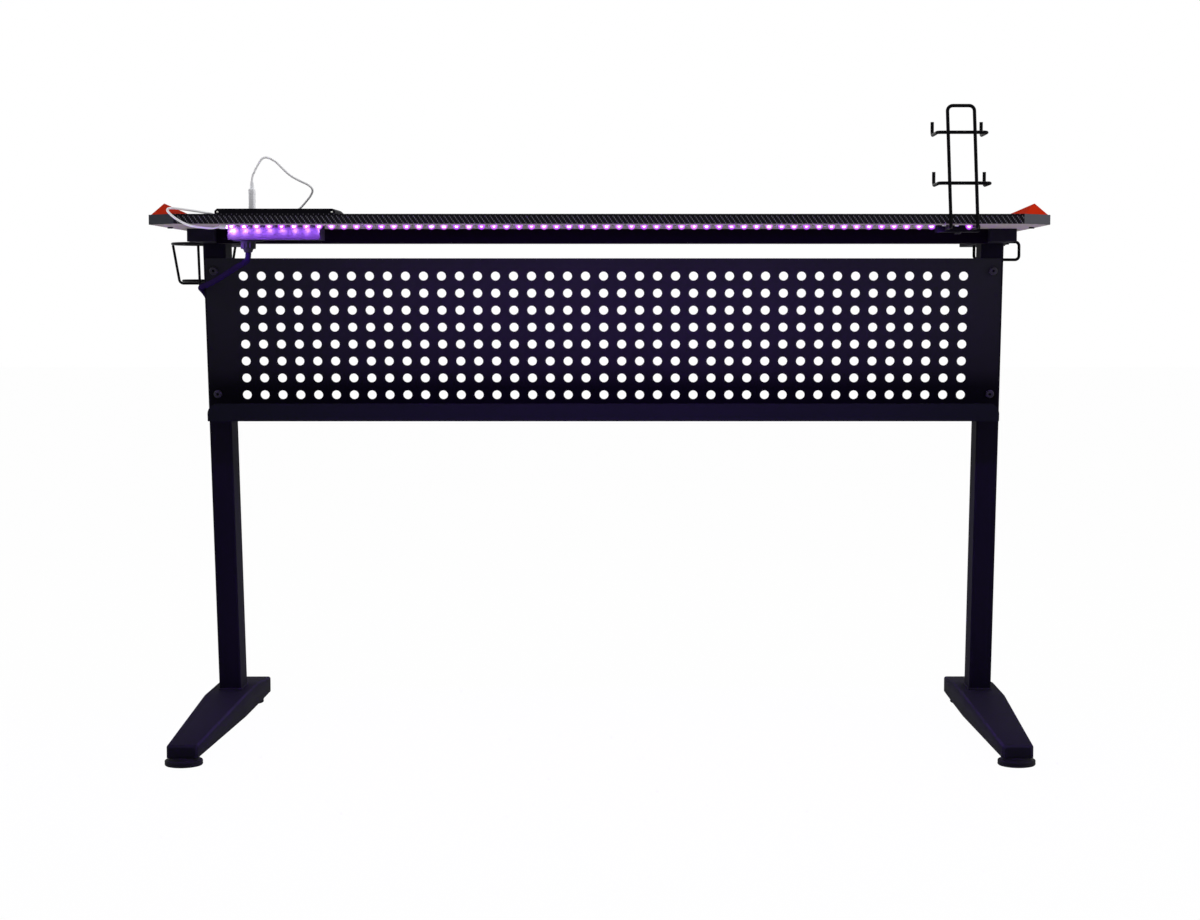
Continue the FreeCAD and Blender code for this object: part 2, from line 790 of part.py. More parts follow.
def charger_inside():
    low = plate_top_z - port_deep
    shells, tongues = [], []
    for x in port_centres():
        half_x, half_y = port_wide / 2 - fit_gap, port_long / 2 - fit_gap
        shell = box(x - half_x, x + half_x, body_mid_y - half_y, body_mid_y + half_y, low, plate_top_z)
        half_x, half_y = half_x - port_wall, half_y - port_wall
        shells.append(shell.cut(box(x - half_x, x + half_x, body_mid_y - half_y, body_mid_y + half_y,
                                    low + port_wall, plate_top_z + overrun)))
        middle = x - tongue_off
        half_x, half_y = tongue_thick / 2, tongue_long / 2
        tongues.append(box(middle - half_x, middle + half_x, body_mid_y - half_y, body_mid_y + half_y,
                           low + port_wall, low + port_wall + tongue_high))
    export("usb_ports", *shells)
    export("usb_tongues", *tongues)
    inset = body_wall + circuit_gap
    export("charger_board", box(body_left + inset, body_left + body_wide - inset, body_rear_y + inset,
                                body_rear_y + body_deep - inset, low - circuit_thick, low))
    floor_z = body_low_z + body_wall
    x0, y0 = converter_x - converter_wide / 2, body_mid_y - converter_deep / 2
    block = box(x0, x0 + converter_wide, y0, y0 + converter_deep, floor_z, floor_z + converter_high)
    export("power_converter", rounded(block, converter_edge, converter_high))


def gland_low_z():
    return body_low_z - gland_ear_h - gland_h - gland_collar_h


def cable_gland():
    ears = box(gland_x - gland_ear_wide / 2, gland_x + gland_ear_wide / 2, gland_y - gland_ear_deep / 2,
               gland_y + gland_ear_deep / 2, body_low_z - gland_ear_h, body_low_z)
    ears = rounded(ears, gland_ear_deep / 3, gland_ear_h)
    collar_top = gland_low_z() + gland_collar_h
    barrel = upright(gland_r, gland_x, gland_y, collar_top, body_low_z - gland_ear_h / 2)
    collar = Part.makeCone(gland_collar_r, gland_collar_tip_r, gland_collar_h,
                           V(gland_x, gland_y, collar_top), V(0, 0, -1))
    bore = upright(lead_r + fit_gap, gland_x, gland_y, gland_low_z() - overrun, body_low_z + overrun)
    export("cable_gland", fuse([ears, barrel, collar]).cut(bore))


def lean_y(z):
    return column_base_y - (z - foot_top) * lean_tan


def mains_route():
    # Places are counted from the table's left edge. Those that drop from the underside lead to the column
    # and round it, with the depth counted from its rear face; the last ones lead over the foot to the floor.
    to_column = [(125.8, 70.5, 41.0), (124.0, 74.0, 46.5), (114.7, 90.0, 54.5), (100.6, 120.0, 60.6),
                 (85.4, 155.0, 66.0), (62.7, 205.0, 71.5)]
    round_column = [(42.8, -43.0, 75.6), (24.0, -9.6, 79.6), (16.8, -1.0, 81.5), (17.0, 17.7, 85.0),
                    (17.5, 39.9, 91.0), (17.8, 56.0, 98.0), (22.5, 64.6, 109.0), (31.5, 66.9, 126.0),
                    (37.5, 64.5, 149.0)]
    to_floor = [(36.5, 429.5, 112.0), (35.5, 437.0, 84.0), (34.0, 448.0, 63.5), (32.0, 467.0, 52.0),
                (29.5, 490.0, 47.5), (26.5, 519.0, 46.0), (23.5, 547.0, 44.0), (21.5, 567.0, 39.5),
                (21.0, 585.0, 27.0), (23.0, 603.0, 12.5), (25.0, 623.0, 4.5)]
    left = -half_width
    points = [V(left + x, y, under_z - drop) for x, y, drop in to_column]
    points += [V(left + x, lean_y(under_z - drop) + out, under_z - drop) for x, out, drop in round_column]
    behind = column_span + lead_r + mains_run_off
    points += [V(-leg_x, lean_y(z) + behind, z) for z in (under_z - mains_run_drop, mains_run_low)]
    return points + [V(left + x, y, z) for x, y, z in to_floor]


def mains_lead():
    start = V(gland_x, gland_y, gland_low_z())
    mains_end_x = mains_end_in - half_width
    end = V(mains_end_x, mains_end_y, mains_end_z)
    cord("mains_lead", [start] + mains_route() + [end], lead_r)
    tip_y = mains_end_y + plug_neck_long
    neck = Part.makeCone(lead_r, plug_neck_r, plug_neck_long, end, V(0, 1, 0))
    block = box(mains_end_x - plug_wide / 2, mains_end_x + plug_wide / 2, tip_y, tip_y + plug_long,
                mains_end_z - plug_high / 2, mains_end_z + plug_high / 2)
    block = rounded(block, plug_edge, plug_long)
    face_y = tip_y + plug_long
    pin_xs = (mains_end_x - pin_pitch / 2, mains_end_x + pin_pitch / 2)
    ways = [rod(pin_r + fit_gap, V(x, face_y - pin_seat, mains_end_z), V(x, face_y + overrun, mains_end_z))
            for x in pin_xs]
    export("mains_plug", fuse([neck, block]).cut(ways))
    pins = [rod(pin_r, V(x, face_y - pin_seat, mains_end_z), V(x, face_y + pin_long, mains_end_z))
            for x in pin_xs]
    export("mains_plug_pins", *pins)


def light_strip():
    low = under_z - strip_thick
    half = chip_side / 2
    y0 = strip_y - strip_wide / 2
    export("led_strip", box(strip_left, strip_right, y0, y0 + strip_wide, low, under_z))
    chip_xs = [strip_left + chip_margin + chip_pitch * k for k in range(chip_count)]
    export("led_chips", *[box(x - half, x + half, strip_y - half, strip_y + half, low - chip_thick, low)
                          for x in chip_xs])
    sleeve = box(strip_left - sleeve_long, strip_left, strip_y - sleeve_wide / 2, strip_y + sleeve_wide / 2,
                 under_z - sleeve_high, under_z)
    export("led_lead_sleeve", rounded(sleeve, sleeve_high / 3, sleeve_long))


def led_lead():
    # Out of the sleeve, up over the rear corner, round behind the charger and down into the plug.
    # Places are counted from the table's left edge, its rear edge and its upper face.
    start = V(strip_left - sleeve_long, strip_y, under_z - sleeve_high / 2)
    route = [(89.8, 40.0, -15.7), (85.0, 36.5, -17.8), (75.5, 22.5, -17.4), (63.0, -1.5, -16.2),
             (51.0, -4.0, -11.0), (39.5, -3.0, -3.4), (33.4, 0.5, 2.2), (31.4, 2.0, 5.2), (33.2, 3.0, 7.4),
             (38.5, 3.5, 7.7), (47.0, 4.0, 6.7), (58.3, 6.0, 5.3), (72.5, 10.0, 3.3), (79.0, 27.0, 2.2),
             (81.0, 48.0, 2.0), (81.5, 70.0, 1.8), (81.5, 95.0, 1.7), (86.0, 120.0, 1.7), (104.0, 131.5, 1.7),
             (132.0, 133.0, 1.7),
             (159.0, 130.0, 1.9), (176.0, 124.0, 5.0), (188.9, 116.0, 11.3), (197.5, 107.0, 19.0),
             (207.0, 99.0, 28.5), (211.0, 93.0, 36.5), (205.5, 87.0, 42.6), (193.0, 84.5, 48.0),
             (180.4, 82.0, 55.2), (171.0, 80.5, 64.5), (161.0, 79.0, 75.0), (147.0, 77.0, 80.5),
             (139.0, 76.0, 69.0), (134.0, 75.2, 58.5), (131.0, 75.0, 52.0)]
    points = [V(x - half_width, y, top_height + rise) for x, y, rise in route]
    low = plate_top_z + usb_stand_off
    top = low + usb_high
    end = V(port_first_x, body_mid_y, top + relief_h)
    cord("led_lead", [start] + points + [end], led_lead_r)
    grip = box(port_first_x - usb_wide / 2, port_first_x + usb_wide / 2, body_mid_y - usb_long / 2,
               body_mid_y + usb_long / 2, low, top)
    relief = Part.makeCone(relief_r, relief_tip_r, relief_h, V(port_first_x, body_mid_y, top), V(0, 0, 1))
    export("usb_plug", fuse([rounded(grip, usb_edge, usb_high), relief]))
    shell_low = plate_top_z - shell_in
    half_x, half_y = shell_wide / 2, shell_long / 2
    sleeve = box(port_first_x - half_x, port_first_x + half_x, body_mid_y - half_y, body_mid_y + half_y,
                 shell_low, low)
    half_x, half_y = half_x - shell_wall, half_y - shell_wall
    hollow = box(port_first_x - half_x, port_first_x + half_x, body_mid_y - half_y, body_mid_y + half_y,
                 shell_low - overrun, plate_top_z)
    export("usb_plug_shell", sleeve.cut(hollow))


def wire_rack():
    y = -rack_off
    z = under_z - rack_drop
    frame = [V(rack_left_x, rack_under_y, z), V(rack_left_x, y, z),
             V(rack_left_x - rack_shift, y, rack_top), V(rack_right_x - rack_shift, y, rack_top),
             V(rack_right_x, y, z), V(rack_right_x, rack_under_y, z)]
    export("rack_frame", tube(frame, wire_r, [rack_low_bend, rack_top_bend, rack_top_bend, rack_low_bend]))
    bar_y = y + wire_r * 2 + fit_gap
    tip_y = bar_y + fork_reach
    forks = (("upper", fork_upper_rise, fork_upper_past), ("lower", fork_lower_rise, fork_lower_past))
    for name, rise, past in forks:
        bar_z = top_height + rise
        x0, x1 = rack_left_x - past[0], rack_right_x + past[1]
        half = [V(x0, tip_y, bar_z + fork_tip), V(x0, tip_y, bar_z), V(x0, bar_y, bar_z)]
        other = [V(x1, p.y, p.z) for p in reversed(half)]
        export("rack_fork_" + name, tube(half + other, wire_r, [fork_bend] * 4))
    block = box(rack_left_x - clamp_side, rack_right_x + clamp_side, clamp_rear_y, clamp_front_y,
                under_z - clamp_high, under_z)
    bores = [rod(wire_r + fit_gap, V(x, clamp_rear_y - overrun, z), V(x, clamp_front_y + overrun, z))
             for x in (rack_left_x, rack_right_x)]
    bores += [screw_way(*place, under_z - clamp_high - overrun, under_z + overrun)
              for place in clamp_screw_places()]
    export("rack_clamp", block.cut(bores))


def cup_holder():
    # A rim on two crossed ribs with a ring inside their floor, and a plate that reaches under the table top
    rib_step = basket_wire_r * 2 + fit_gap
    rib_top = cup_rim_z - basket_wire_r - fit_gap * 2
    up = V(0, 0, 1)
    export("cup_rim", Part.makeTorus(cup_rim_r, basket_wire_r, V(cup_x, cup_y, cup_rim_z), up))
    base_z = cup_floor_z + rib_step
    export("cup_base", Part.makeTorus(cup_floor_r - cup_base_in, basket_wire_r, V(cup_x, cup_y, base_z), up))
    ribs = []
    for step, along in enumerate((V(1, 0, 0), V(0, 1, 0))):
        low = cup_floor_z - step * rib_step
        bow = [(-cup_rim_r, rib_top), (-cup_floor_r, low), (cup_floor_r, low), (cup_rim_r, rib_top)]
        points = [V(cup_x, cup_y, z) + along * out for out, z in bow]
        ribs.append(tube(points, basket_wire_r, [cup_bend] * 2))
    export("cup_ribs", *ribs)
    near = cup_x + cup_reach + fit_gap
    y0, y1 = cup_y - cup_plate_wide / 2, cup_y + cup_plate_wide / 2
    low = under_z - cup_plate_thick
    plate = box(near, near + cup_plate_long, y0, y1, low, under_z)
    tab = box(near, near + cup_plate_thick, y0, y1, under_z - cup_plate_drop, under_z - cup_plate_thick / 2)
    ways = [screw_way(x, y, low - overrun, under_z + overrun) for x, y in cup_screw_places()]
    export("cup_bracket", fuse([plate, tab]).cut(ways))


def headset_hook():
    left = mount_left()
    route = [V(left + mount_gap_x, hook_y, hook_top_z), V(hook_out_x, hook_y, hook_top_z),
             V(hook_out_x, hook_y, hook_low_z), V(hook_tip_x, hook_y, hook_low_z),
             V(hook_tip_x, hook_y, arm_low_z - fit_gap)]
    export("headset_hook", tube(route, hook_wire_r, [hook_bend] * 3))
    y0 = hook_y - mount_deep / 2
    block = box(left, left + mount_wide, y0, y0 + mount_deep, under_z - mount_high, under_z)
    bore = rod(hook_wire_r + fit_gap, V(left + mount_gap_x, hook_y, hook_top_z),
               V(left + mount_wide + overrun, hook_y, hook_top_z))
    ways = [screw_way(x, y, under_z - mount_high - overrun, under_z + overrun)
            for x, y in mount_screw_places()]
    export("headset_mount", block.cut([bore] + ways))


table_top()
corner_trims()
wood_screws()
columns()
feet()
glides()
arms()
rear_beam()
modesty_panel()
cable_tray()
charger_case()
charger_inside()
cable_gland()
mains_lead()
light_strip()
led_lead()
wire_rack()
cup_holder()
headset_hook()
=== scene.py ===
import bpy
import json
import math
import numpy as np
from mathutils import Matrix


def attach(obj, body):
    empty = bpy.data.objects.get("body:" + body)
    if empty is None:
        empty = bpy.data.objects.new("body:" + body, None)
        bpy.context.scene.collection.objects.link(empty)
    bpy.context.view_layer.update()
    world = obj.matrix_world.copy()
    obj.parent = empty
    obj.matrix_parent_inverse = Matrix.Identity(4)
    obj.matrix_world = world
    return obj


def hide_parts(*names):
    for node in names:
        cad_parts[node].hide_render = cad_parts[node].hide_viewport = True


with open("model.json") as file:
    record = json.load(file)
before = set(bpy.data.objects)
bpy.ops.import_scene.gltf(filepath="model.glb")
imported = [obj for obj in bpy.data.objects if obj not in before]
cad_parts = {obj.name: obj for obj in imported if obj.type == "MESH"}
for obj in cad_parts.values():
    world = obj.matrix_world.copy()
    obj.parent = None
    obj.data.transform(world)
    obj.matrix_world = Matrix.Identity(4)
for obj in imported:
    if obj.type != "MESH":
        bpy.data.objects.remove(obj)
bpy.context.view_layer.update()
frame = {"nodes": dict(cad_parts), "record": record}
nodes = frame["nodes"]
scene = bpy.context.scene
scene.view_settings.view_transform = "Standard"
print("frame loaded,", len(nodes), "nodes")

# Sizes here are millimetres from the middle of the table's rear edge, on the floor.
# toFrame carries them to the frame, in metres. The camera, lamps and the painted shade's heights are in the
# frame's metres.
frameShift = np.array([27.95, -297.5, 0.0])
mm = 0.001
sides = {"left": -1, "right": 1}


def toFrame(points):
    return (np.asarray(points, float) + frameShift) * mm


# Camera

view = {"lens": 69.0, "sensor": 36.0, "shift": -0.0431, "place": (0.09385, -3.3380, 0.6170), "pitch": 86.169,
        "yaw": -0.064}
cameraData = bpy.data.cameras.new("rearCamera")
cameraData.lens = view["lens"]
cameraData.sensor_width = view["sensor"]
cameraData.shift_x = view["shift"]
camera = bpy.data.objects.new("rearCamera", cameraData)
camera.location = view["place"]
camera.rotation_euler = (math.radians(view["pitch"]), 0, math.radians(view["yaw"]))
scene.collection.objects.link(camera)
scene.camera = camera
print("camera set")


# Mesh helpers: each piece is a grid of points in metres, with its faces

def meshPiece(name, points, faces, material, smooth=True):
    mesh = bpy.data.meshes.new(name)
    mesh.from_pydata(np.asarray(points).reshape(-1, 3).tolist(), [], faces)
    mesh.polygons.foreach_set("use_smooth", np.full(len(mesh.polygons), smooth))
    mesh.materials.append(material)
    mesh.update()
    piece = bpy.data.objects.new(name, mesh)
    scene.collection.objects.link(piece)
    return piece


# quads between neighbouring rows of a grid of points; each row is a closed loop when wrap is set
def gridFaces(rows, cols, wrap=True, capFirst=False, capLast=False):
    r, c = np.meshgrid(np.arange(rows - 1), np.arange(cols if wrap else cols - 1), indexing="ij")
    nextC = (c + 1) % cols
    quads = np.stack([r * cols + c, r * cols + nextC, (r + 1) * cols + nextC, (r + 1) * cols + c], -1)
    faces = quads.reshape(-1, 4).tolist()
    if capFirst:
        faces.append(list(range(cols))[::-1])
    if capLast:
        faces.append(list(range((rows - 1) * cols, rows * cols)))
    return faces


# a unit's points and faces, set down once at each place and scaled there
def repeated(points, faces, places, scales):
    points = np.asarray(points, float)
    whole = points[None] * np.asarray(scales)[:, None, None] + np.asarray(places)[:, None]
    count = len(points)
    allFaces = [[k + n * count for k in face] for n in range(len(places)) for face in faces]
    return whole.reshape(-1, 3), allFaces


# profile of radius and height turned about an upright axis; ripple(angle, height) scales the radius
def turnedPoints(profile, centre, steps, ripple=None):
    profile = np.asarray(profile, float)
    angle = np.linspace(0, 2 * np.pi, steps, endpoint=False)
    radius = np.repeat(profile[:, :1], steps, 1)
    height = np.repeat(profile[:, 1:], steps, 1)
    if ripple is not None:
        radius = radius * ripple(angle[None], height)
    flat = np.stack([radius * np.cos(angle), radius * np.sin(angle), height], -1)
    return flat + np.array([centre[0], centre[1], 0.0])


# loop round a rectangle whose corners are quarter circles of radius r, counter-clockwise from +u
def roundedLoop(halfU, halfV, r, steps=6):
    turn = np.linspace(0, np.pi / 2, steps)
    start = np.array([0, 1, 2, 3])[:, None] * np.pi / 2
    angle = (start + turn[None]).ravel()
    signU = np.repeat([1, -1, -1, 1], steps)
    signV = np.repeat([1, 1, -1, -1], steps)
    u = signU * (halfU - r) + r * np.cos(angle)
    v = signV * (halfV - r) + r * np.sin(angle)
    return np.stack([u, v], -1)


# a flat loop of points set at one height
def atHeight(loop, z):
    return np.column_stack([loop, np.full(len(loop), z)])


# two closed shells as one list of points and one of faces
def joinedShells(first, second):
    faces = gridFaces(*first.shape[:2], capFirst=True, capLast=True)
    shift = first.shape[0] * first.shape[1]
    later = gridFaces(*second.shape[:2], capFirst=True, capLast=True)
    faces += [[k + shift for k in face] for face in later]
    return np.vstack([first.reshape(-1, 3), second.reshape(-1, 3)]), faces


# sets a piece on its body and hides the nodes it stands in for
def finishPiece(piece, body, slot, *replaced):
    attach(piece, body)
    if replaced:
        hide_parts(*replaced)
    return piece


# Shader helpers

# a node with its settings; each input takes a value or another node's socket, and i0, i1 go by place
def put(tree, kind, settings=None, **inputs):
    node = tree.nodes.new("ShaderNode" + kind)
    for key, value in (settings or {}).items():
        setattr(node, key, value)
    for key, value in inputs.items():
        socket = node.inputs[int(key[1:])] if key[1:].isdigit() else node.inputs[key.replace("_", " ")]
        if isinstance(value, bpy.types.NodeSocket):
            tree.links.new(value, socket)
        else:
            socket.default_value = value
    return node


def calc(tree, operation, *values):
    inputs = {"i" + str(k): value for k, value in enumerate(values)}
    return put(tree, "Math", {"operation": operation}, **inputs).outputs[0]


def newGroup(name, inputs, outputs):
    tree = bpy.data.node_groups.new(name, "ShaderNodeTree")
    for label, kind, value in inputs:
        socket = tree.interface.new_socket(name=label, in_out="INPUT", socket_type="NodeSocket" + kind)
        if value is not None:
            socket.default_value = value
    for label, kind in outputs:
        tree.interface.new_socket(name=label, in_out="OUTPUT", socket_type="NodeSocket" + kind)
    return tree, tree.nodes.new("NodeGroupInput").outputs, tree.nodes.new("NodeGroupOutput").inputs


# one over, three under: a strand of the warp lies on top where (column + row) mod 4 is 0
twillLook = {"repeat": 4.0, "weftTone": 0.05}


def buildTwill():
    tree, given, out = newGroup("twill", [("Vector", "Vector", None), ("Strand", "Float", 0.002)],
                                [("Tone", "Float"), ("Height", "Float")])
    split = put(tree, "SeparateXYZ", Vector=given["Vector"])
    u = calc(tree, "DIVIDE", split.outputs["X"], given["Strand"])
    v = calc(tree, "DIVIDE", split.outputs["Y"], given["Strand"])
    order = calc(tree, "ADD", calc(tree, "FLOOR", u), calc(tree, "FLOOR", v))
    onTop = calc(tree, "LESS_THAN", calc(tree, "FLOORED_MODULO", order, twillLook["repeat"]), 1.0)
    # each strand is a hump, one minus the square of the distance from its middle
    humps = []
    for along in (u, v):
        centred = calc(tree, "MULTIPLY_ADD", calc(tree, "FRACT", along), 2.0, -1.0)
        humps.append(calc(tree, "SUBTRACT", 1.0, calc(tree, "MULTIPLY", centred, centred)))
    under = calc(tree, "SUBTRACT", 1.0, onTop)
    warp = calc(tree, "MULTIPLY", onTop, calc(tree, "MULTIPLY", humps[0], humps[0]))
    weft = calc(tree, "MULTIPLY", under, humps[1])
    # the warp lies light and the weft nearly black: a painted sheen of the strands
    tree.links.new(calc(tree, "MULTIPLY_ADD", weft, twillLook["weftTone"], warp), out["Tone"])
    tree.links.new(calc(tree, "ADD", warp, weft), out["Height"])
    return tree


# fine grain for bump, and slow clouds for colour and gloss
def buildGrain():
    tree, given, out = newGroup("grain", [("Vector", "Vector", None), ("Fine", "Float", 1800.0),
                                          ("Cloud", "Float", 9.0)],
                                [("Height", "Float"), ("Cloud", "Float")])
    fine = put(tree, "TexNoise", Vector=given["Vector"], Scale=given["Fine"], Detail=2.0, Roughness=0.6)
    cloud = put(tree, "TexNoise", Vector=given["Vector"], Scale=given["Cloud"], Detail=4.0, Roughness=0.55)
    tree.links.new(fine.outputs[0], out["Height"])
    tree.links.new(cloud.outputs[0], out["Cloud"])
    return tree


# thin dust where a face looks up, broken by clouds
def buildDust():
    tree, given, out = newGroup("dust", [("Vector", "Vector", None), ("Amount", "Float", 0.1)],
                                [("Mask", "Float")])
    face = put(tree, "SeparateXYZ", Vector=put(tree, "NewGeometry").outputs["Normal"])
    up = calc(tree, "MAXIMUM", face.outputs["Z"], 0.0)
    cloud = put(tree, "TexNoise", Vector=given["Vector"], Scale=14.0, Detail=6.0, Roughness=0.65)
    mask = calc(tree, "MULTIPLY", calc(tree, "MULTIPLY", up, cloud.outputs[0]), given["Amount"])
    tree.links.new(mask, out["Mask"])
    return tree


twillGroup = buildTwill()
grainGroup = buildGrain()
dustGroup = buildDust()


def useGroup(tree, group, **inputs):
    return put(tree, "Group", {"node_tree": group}, **inputs).outputs


def newMaterial(name):
    material = bpy.data.materials.new(name)
    material.use_nodes = True
    tree = material.node_tree
    return material, tree, tree.nodes["Principled BSDF"], put(tree, "TexCoord").outputs["Object"]


# from the first colour to the second as the mask goes from 0 to 1
def blendColour(tree, mask, first, second):
    node = put(tree, "Mix", {"data_type": "RGBA"}, Factor=mask)
    for socket, value in ((node.inputs[6], first), (node.inputs[7], second)):
        if isinstance(value, bpy.types.NodeSocket):
            tree.links.new(value, socket)
        else:
            socket.default_value = (*value, 1)
    return node.outputs[2]


# a mask of 0 to 1 stretched between two values
def spread(tree, mask, low, high):
    return put(tree, "MapRange", Value=mask, To_Min=low, To_Max=high).outputs[0]


dustTint = (0.35, 0.33, 0.32)
bumpDepth = 0.0002


# a plain finish: two close tones in clouds, gloss that follows them, fine bump and a little dust
def coatMaterial(name, look):
    material, tree, shader, place = newMaterial(name)
    grain = useGroup(tree, grainGroup, Vector=place, Fine=look["fine"], Cloud=look["cloud"])
    colour = blendColour(tree, grain["Cloud"], look["dark"], look["light"])
    # painted shade: the coat darkens downwards, most in the angle at the foot of the piece
    for low, high, least, most in look.get("paintedShade", ()):
        level = put(tree, "SeparateXYZ", Vector=place).outputs["Z"]
        share = put(tree, "MapRange", Value=level, From_Min=low, From_Max=high, To_Min=least, To_Max=most)
        colour = blendColour(tree, share.outputs[0], look["shadeTone"], colour)
    # painted highlight: lighter where the piece marks its edges
    if look.get("edge"):
        highlightMask = put(tree, "Attribute", {"attribute_name": "edgeHighlight"}).outputs["Fac"]
        colour = blendColour(tree, calc(tree, "MULTIPLY", highlightMask, grain["Cloud"]), colour, look["edge"])
    if look["dust"]:
        dust = useGroup(tree, dustGroup, Vector=place, Amount=look["dust"])
        colour = blendColour(tree, dust["Mask"], colour, dustTint)
    tree.links.new(colour, shader.inputs["Base Color"])
    tree.links.new(spread(tree, grain["Cloud"], *look["gloss"]), shader.inputs["Roughness"])
    bump = put(tree, "Bump", Strength=look["bump"], Distance=bumpDepth, Height=grain["Height"])
    tree.links.new(bump.outputs[0], shader.inputs["Normal"])
    shader.inputs["Metallic"].default_value = look["metal"]
    shader.inputs["Specular IOR Level"].default_value = look["specular"]
    return material


# what the powder coats share, and what the other finishes share
powder = {"gloss": (0.62, 0.74), "fine": 1700.0, "bump": 0.22, "metal": 0.0, "dust": 0.006}
plain = {"metal": 0.0, "dust": 0.0}
# the powder coats are one black paint in lighter and darker copies, with painted light and shade: the beam
# darker for the shade under the table top, the arms and panel lighter, the tray darker; the violet in these
# blacks is painted light from the strip, and the feet's edge tone is a painted highlight
coats = {
    "frameBlack": {**powder, "dark": (0.0036, 0.0030, 0.0066), "light": (0.0062, 0.0052, 0.0104),
                   "cloud": 7.0, "specular": 0.012},
    "beamBlack": {**powder, "dark": (0.0018, 0.0005, 0.0034), "light": (0.0034, 0.0011, 0.0058),
                  "cloud": 7.0, "specular": 0.02},
    "armBlack": {**powder, "dark": (0.0084, 0.0074, 0.0130), "light": (0.0130, 0.0116, 0.0195),
                 "cloud": 6.0, "specular": 0.015},
    # the panel's coat carries painted shade, darker towards the tray and darkest just above it
    "panelBlack": {**powder, "dark": (0.0108, 0.0112, 0.0130), "light": (0.0172, 0.0178, 0.0202),
                   "cloud": 5.0, "specular": 0.03, "shadeTone": (0.0010, 0.0008, 0.0018),
                   "paintedShade": ((0.523, 0.684, 0.40, 1.0), (0.499, 0.525, 0.0, 1.0))},
    "trayBlack": {**powder, "dark": (0.0040, 0.0046, 0.0058), "light": (0.0064, 0.0074, 0.0092),
                  "cloud": 5.0, "specular": 0.02},
    "footBlack": {**powder, "dark": (0.0058, 0.0052, 0.0092), "light": (0.0094, 0.0084, 0.0142),
                  "cloud": 9.0, "specular": 0.006, "edge": (0.026, 0.022, 0.044)},
    "wireBlack": {**plain, "dark": (0.0012, 0.0011, 0.0018), "light": (0.0024, 0.0022, 0.0034),
                  "gloss": (0.35, 0.45), "fine": 500.0, "cloud": 20.0, "bump": 0.0, "specular": 0.03},
    "blackOxide": {**plain, "dark": (0.014, 0.013, 0.019), "light": (0.024, 0.022, 0.031),
                   "gloss": (0.40, 0.52), "fine": 2500.0, "cloud": 120.0, "bump": 0.15, "specular": 0.1},
    "zincSteel": {**plain, "dark": (0.50, 0.51, 0.50), "light": (0.66, 0.65, 0.60), "metal": 1.0,
                  "gloss": (0.26, 0.42), "fine": 2500.0, "cloud": 90.0, "bump": 0.1, "specular": 0.5},
    "blackMould": {**plain, "dark": (0.0034, 0.0030, 0.0056), "light": (0.0062, 0.0056, 0.0094),
                   "gloss": (0.55, 0.70), "fine": 2400.0, "cloud": 30.0, "bump": 0.3, "specular": 0.04,
                   "dust": 0.006},
    # the gland is a lighter copy of the black moulding, painted lit so the strip's light shows on it
    "glandMould": {**plain, "dark": (0.0105, 0.0098, 0.0130), "light": (0.0180, 0.0170, 0.0215),
                   "gloss": (0.40, 0.52), "fine": 2400.0, "cloud": 60.0, "bump": 0.15, "specular": 0.08},
    "caseMould": {**plain, "dark": (0.0060, 0.0055, 0.0080), "light": (0.0086, 0.0079, 0.0108),
                  "gloss": (0.50, 0.66), "fine": 2400.0, "cloud": 30.0, "bump": 0.25, "specular": 0.04},
    "whiteMould": {**plain, "dark": (0.86, 0.87, 0.91), "light": (0.92, 0.925, 0.955),
                   "gloss": (0.26, 0.38), "fine": 1500.0, "cloud": 60.0, "bump": 0.05, "specular": 0.5},
    "redMould": {**plain, "dark": (0.37, 0.0122, 0.0003), "light": (0.50, 0.0188, 0.0006),
                 "gloss": (0.40, 0.52), "fine": 1300.0, "cloud": 45.0, "bump": 0.25, "specular": 0.012},
    "boardPaper": {**plain, "dark": (0.25, 0.215, 0.20), "light": (0.36, 0.32, 0.30),
                   "gloss": (0.65, 0.85), "fine": 700.0, "cloud": 55.0, "bump": 0.2, "specular": 0.3},
    "solderMask": {**plain, "dark": (0.012, 0.07, 0.03), "light": (0.02, 0.10, 0.045),
                   "gloss": (0.25, 0.4), "fine": 1200.0, "cloud": 200.0, "bump": 0.1, "specular": 0.5},
    "stripCoat": {**plain, "dark": (0.30, 0.27, 0.30), "light": (0.40, 0.37, 0.40),
                  "gloss": (0.35, 0.5), "fine": 1200.0, "cloud": 40.0, "bump": 0.08, "specular": 0.5},
    # the mains lead's violet is painted light from the strip
    "blackSheath": {**plain, "dark": (0.0110, 0.0056, 0.0330), "light": (0.0160, 0.0084, 0.0460),
                    "gloss": (0.40, 0.52), "fine": 900.0, "cloud": 25.0, "bump": 0.04, "specular": 0.0},
    "whiteSheath": {**plain, "dark": (0.87, 0.87, 0.895), "light": (0.925, 0.92, 0.94),
                    "gloss": (0.28, 0.4), "fine": 900.0, "cloud": 40.0, "bump": 0.05, "specular": 0.5},
}
finishes = {name: coatMaterial(name, look) for name, look in coats.items()}

foilLook = {"strand": 0.001684, "dark": (0.0010, 0.0005, 0.0020), "light": (0.200, 0.194, 0.230),
            "gloss": (0.50, 0.34), "specular": 0.03, "bump": 0.35, "fine": 2000.0, "cloud": 11.0,
            "toneSpread": (0.7, 1.25), "yOnU": 0.0, "second": "Y", "stretch": 1.0, "seam": None,
            "cutSkew": (0.25, 0.45), "cutLeft": (0.027, 0.029, 0.036), "cutRight": (0.066, 0.066, 0.076)}
edgeLook = {**foilLook, "yOnU": 0.6, "second": "Z", "stretch": 0.75, "seam": (0.7353, 0.7362)}
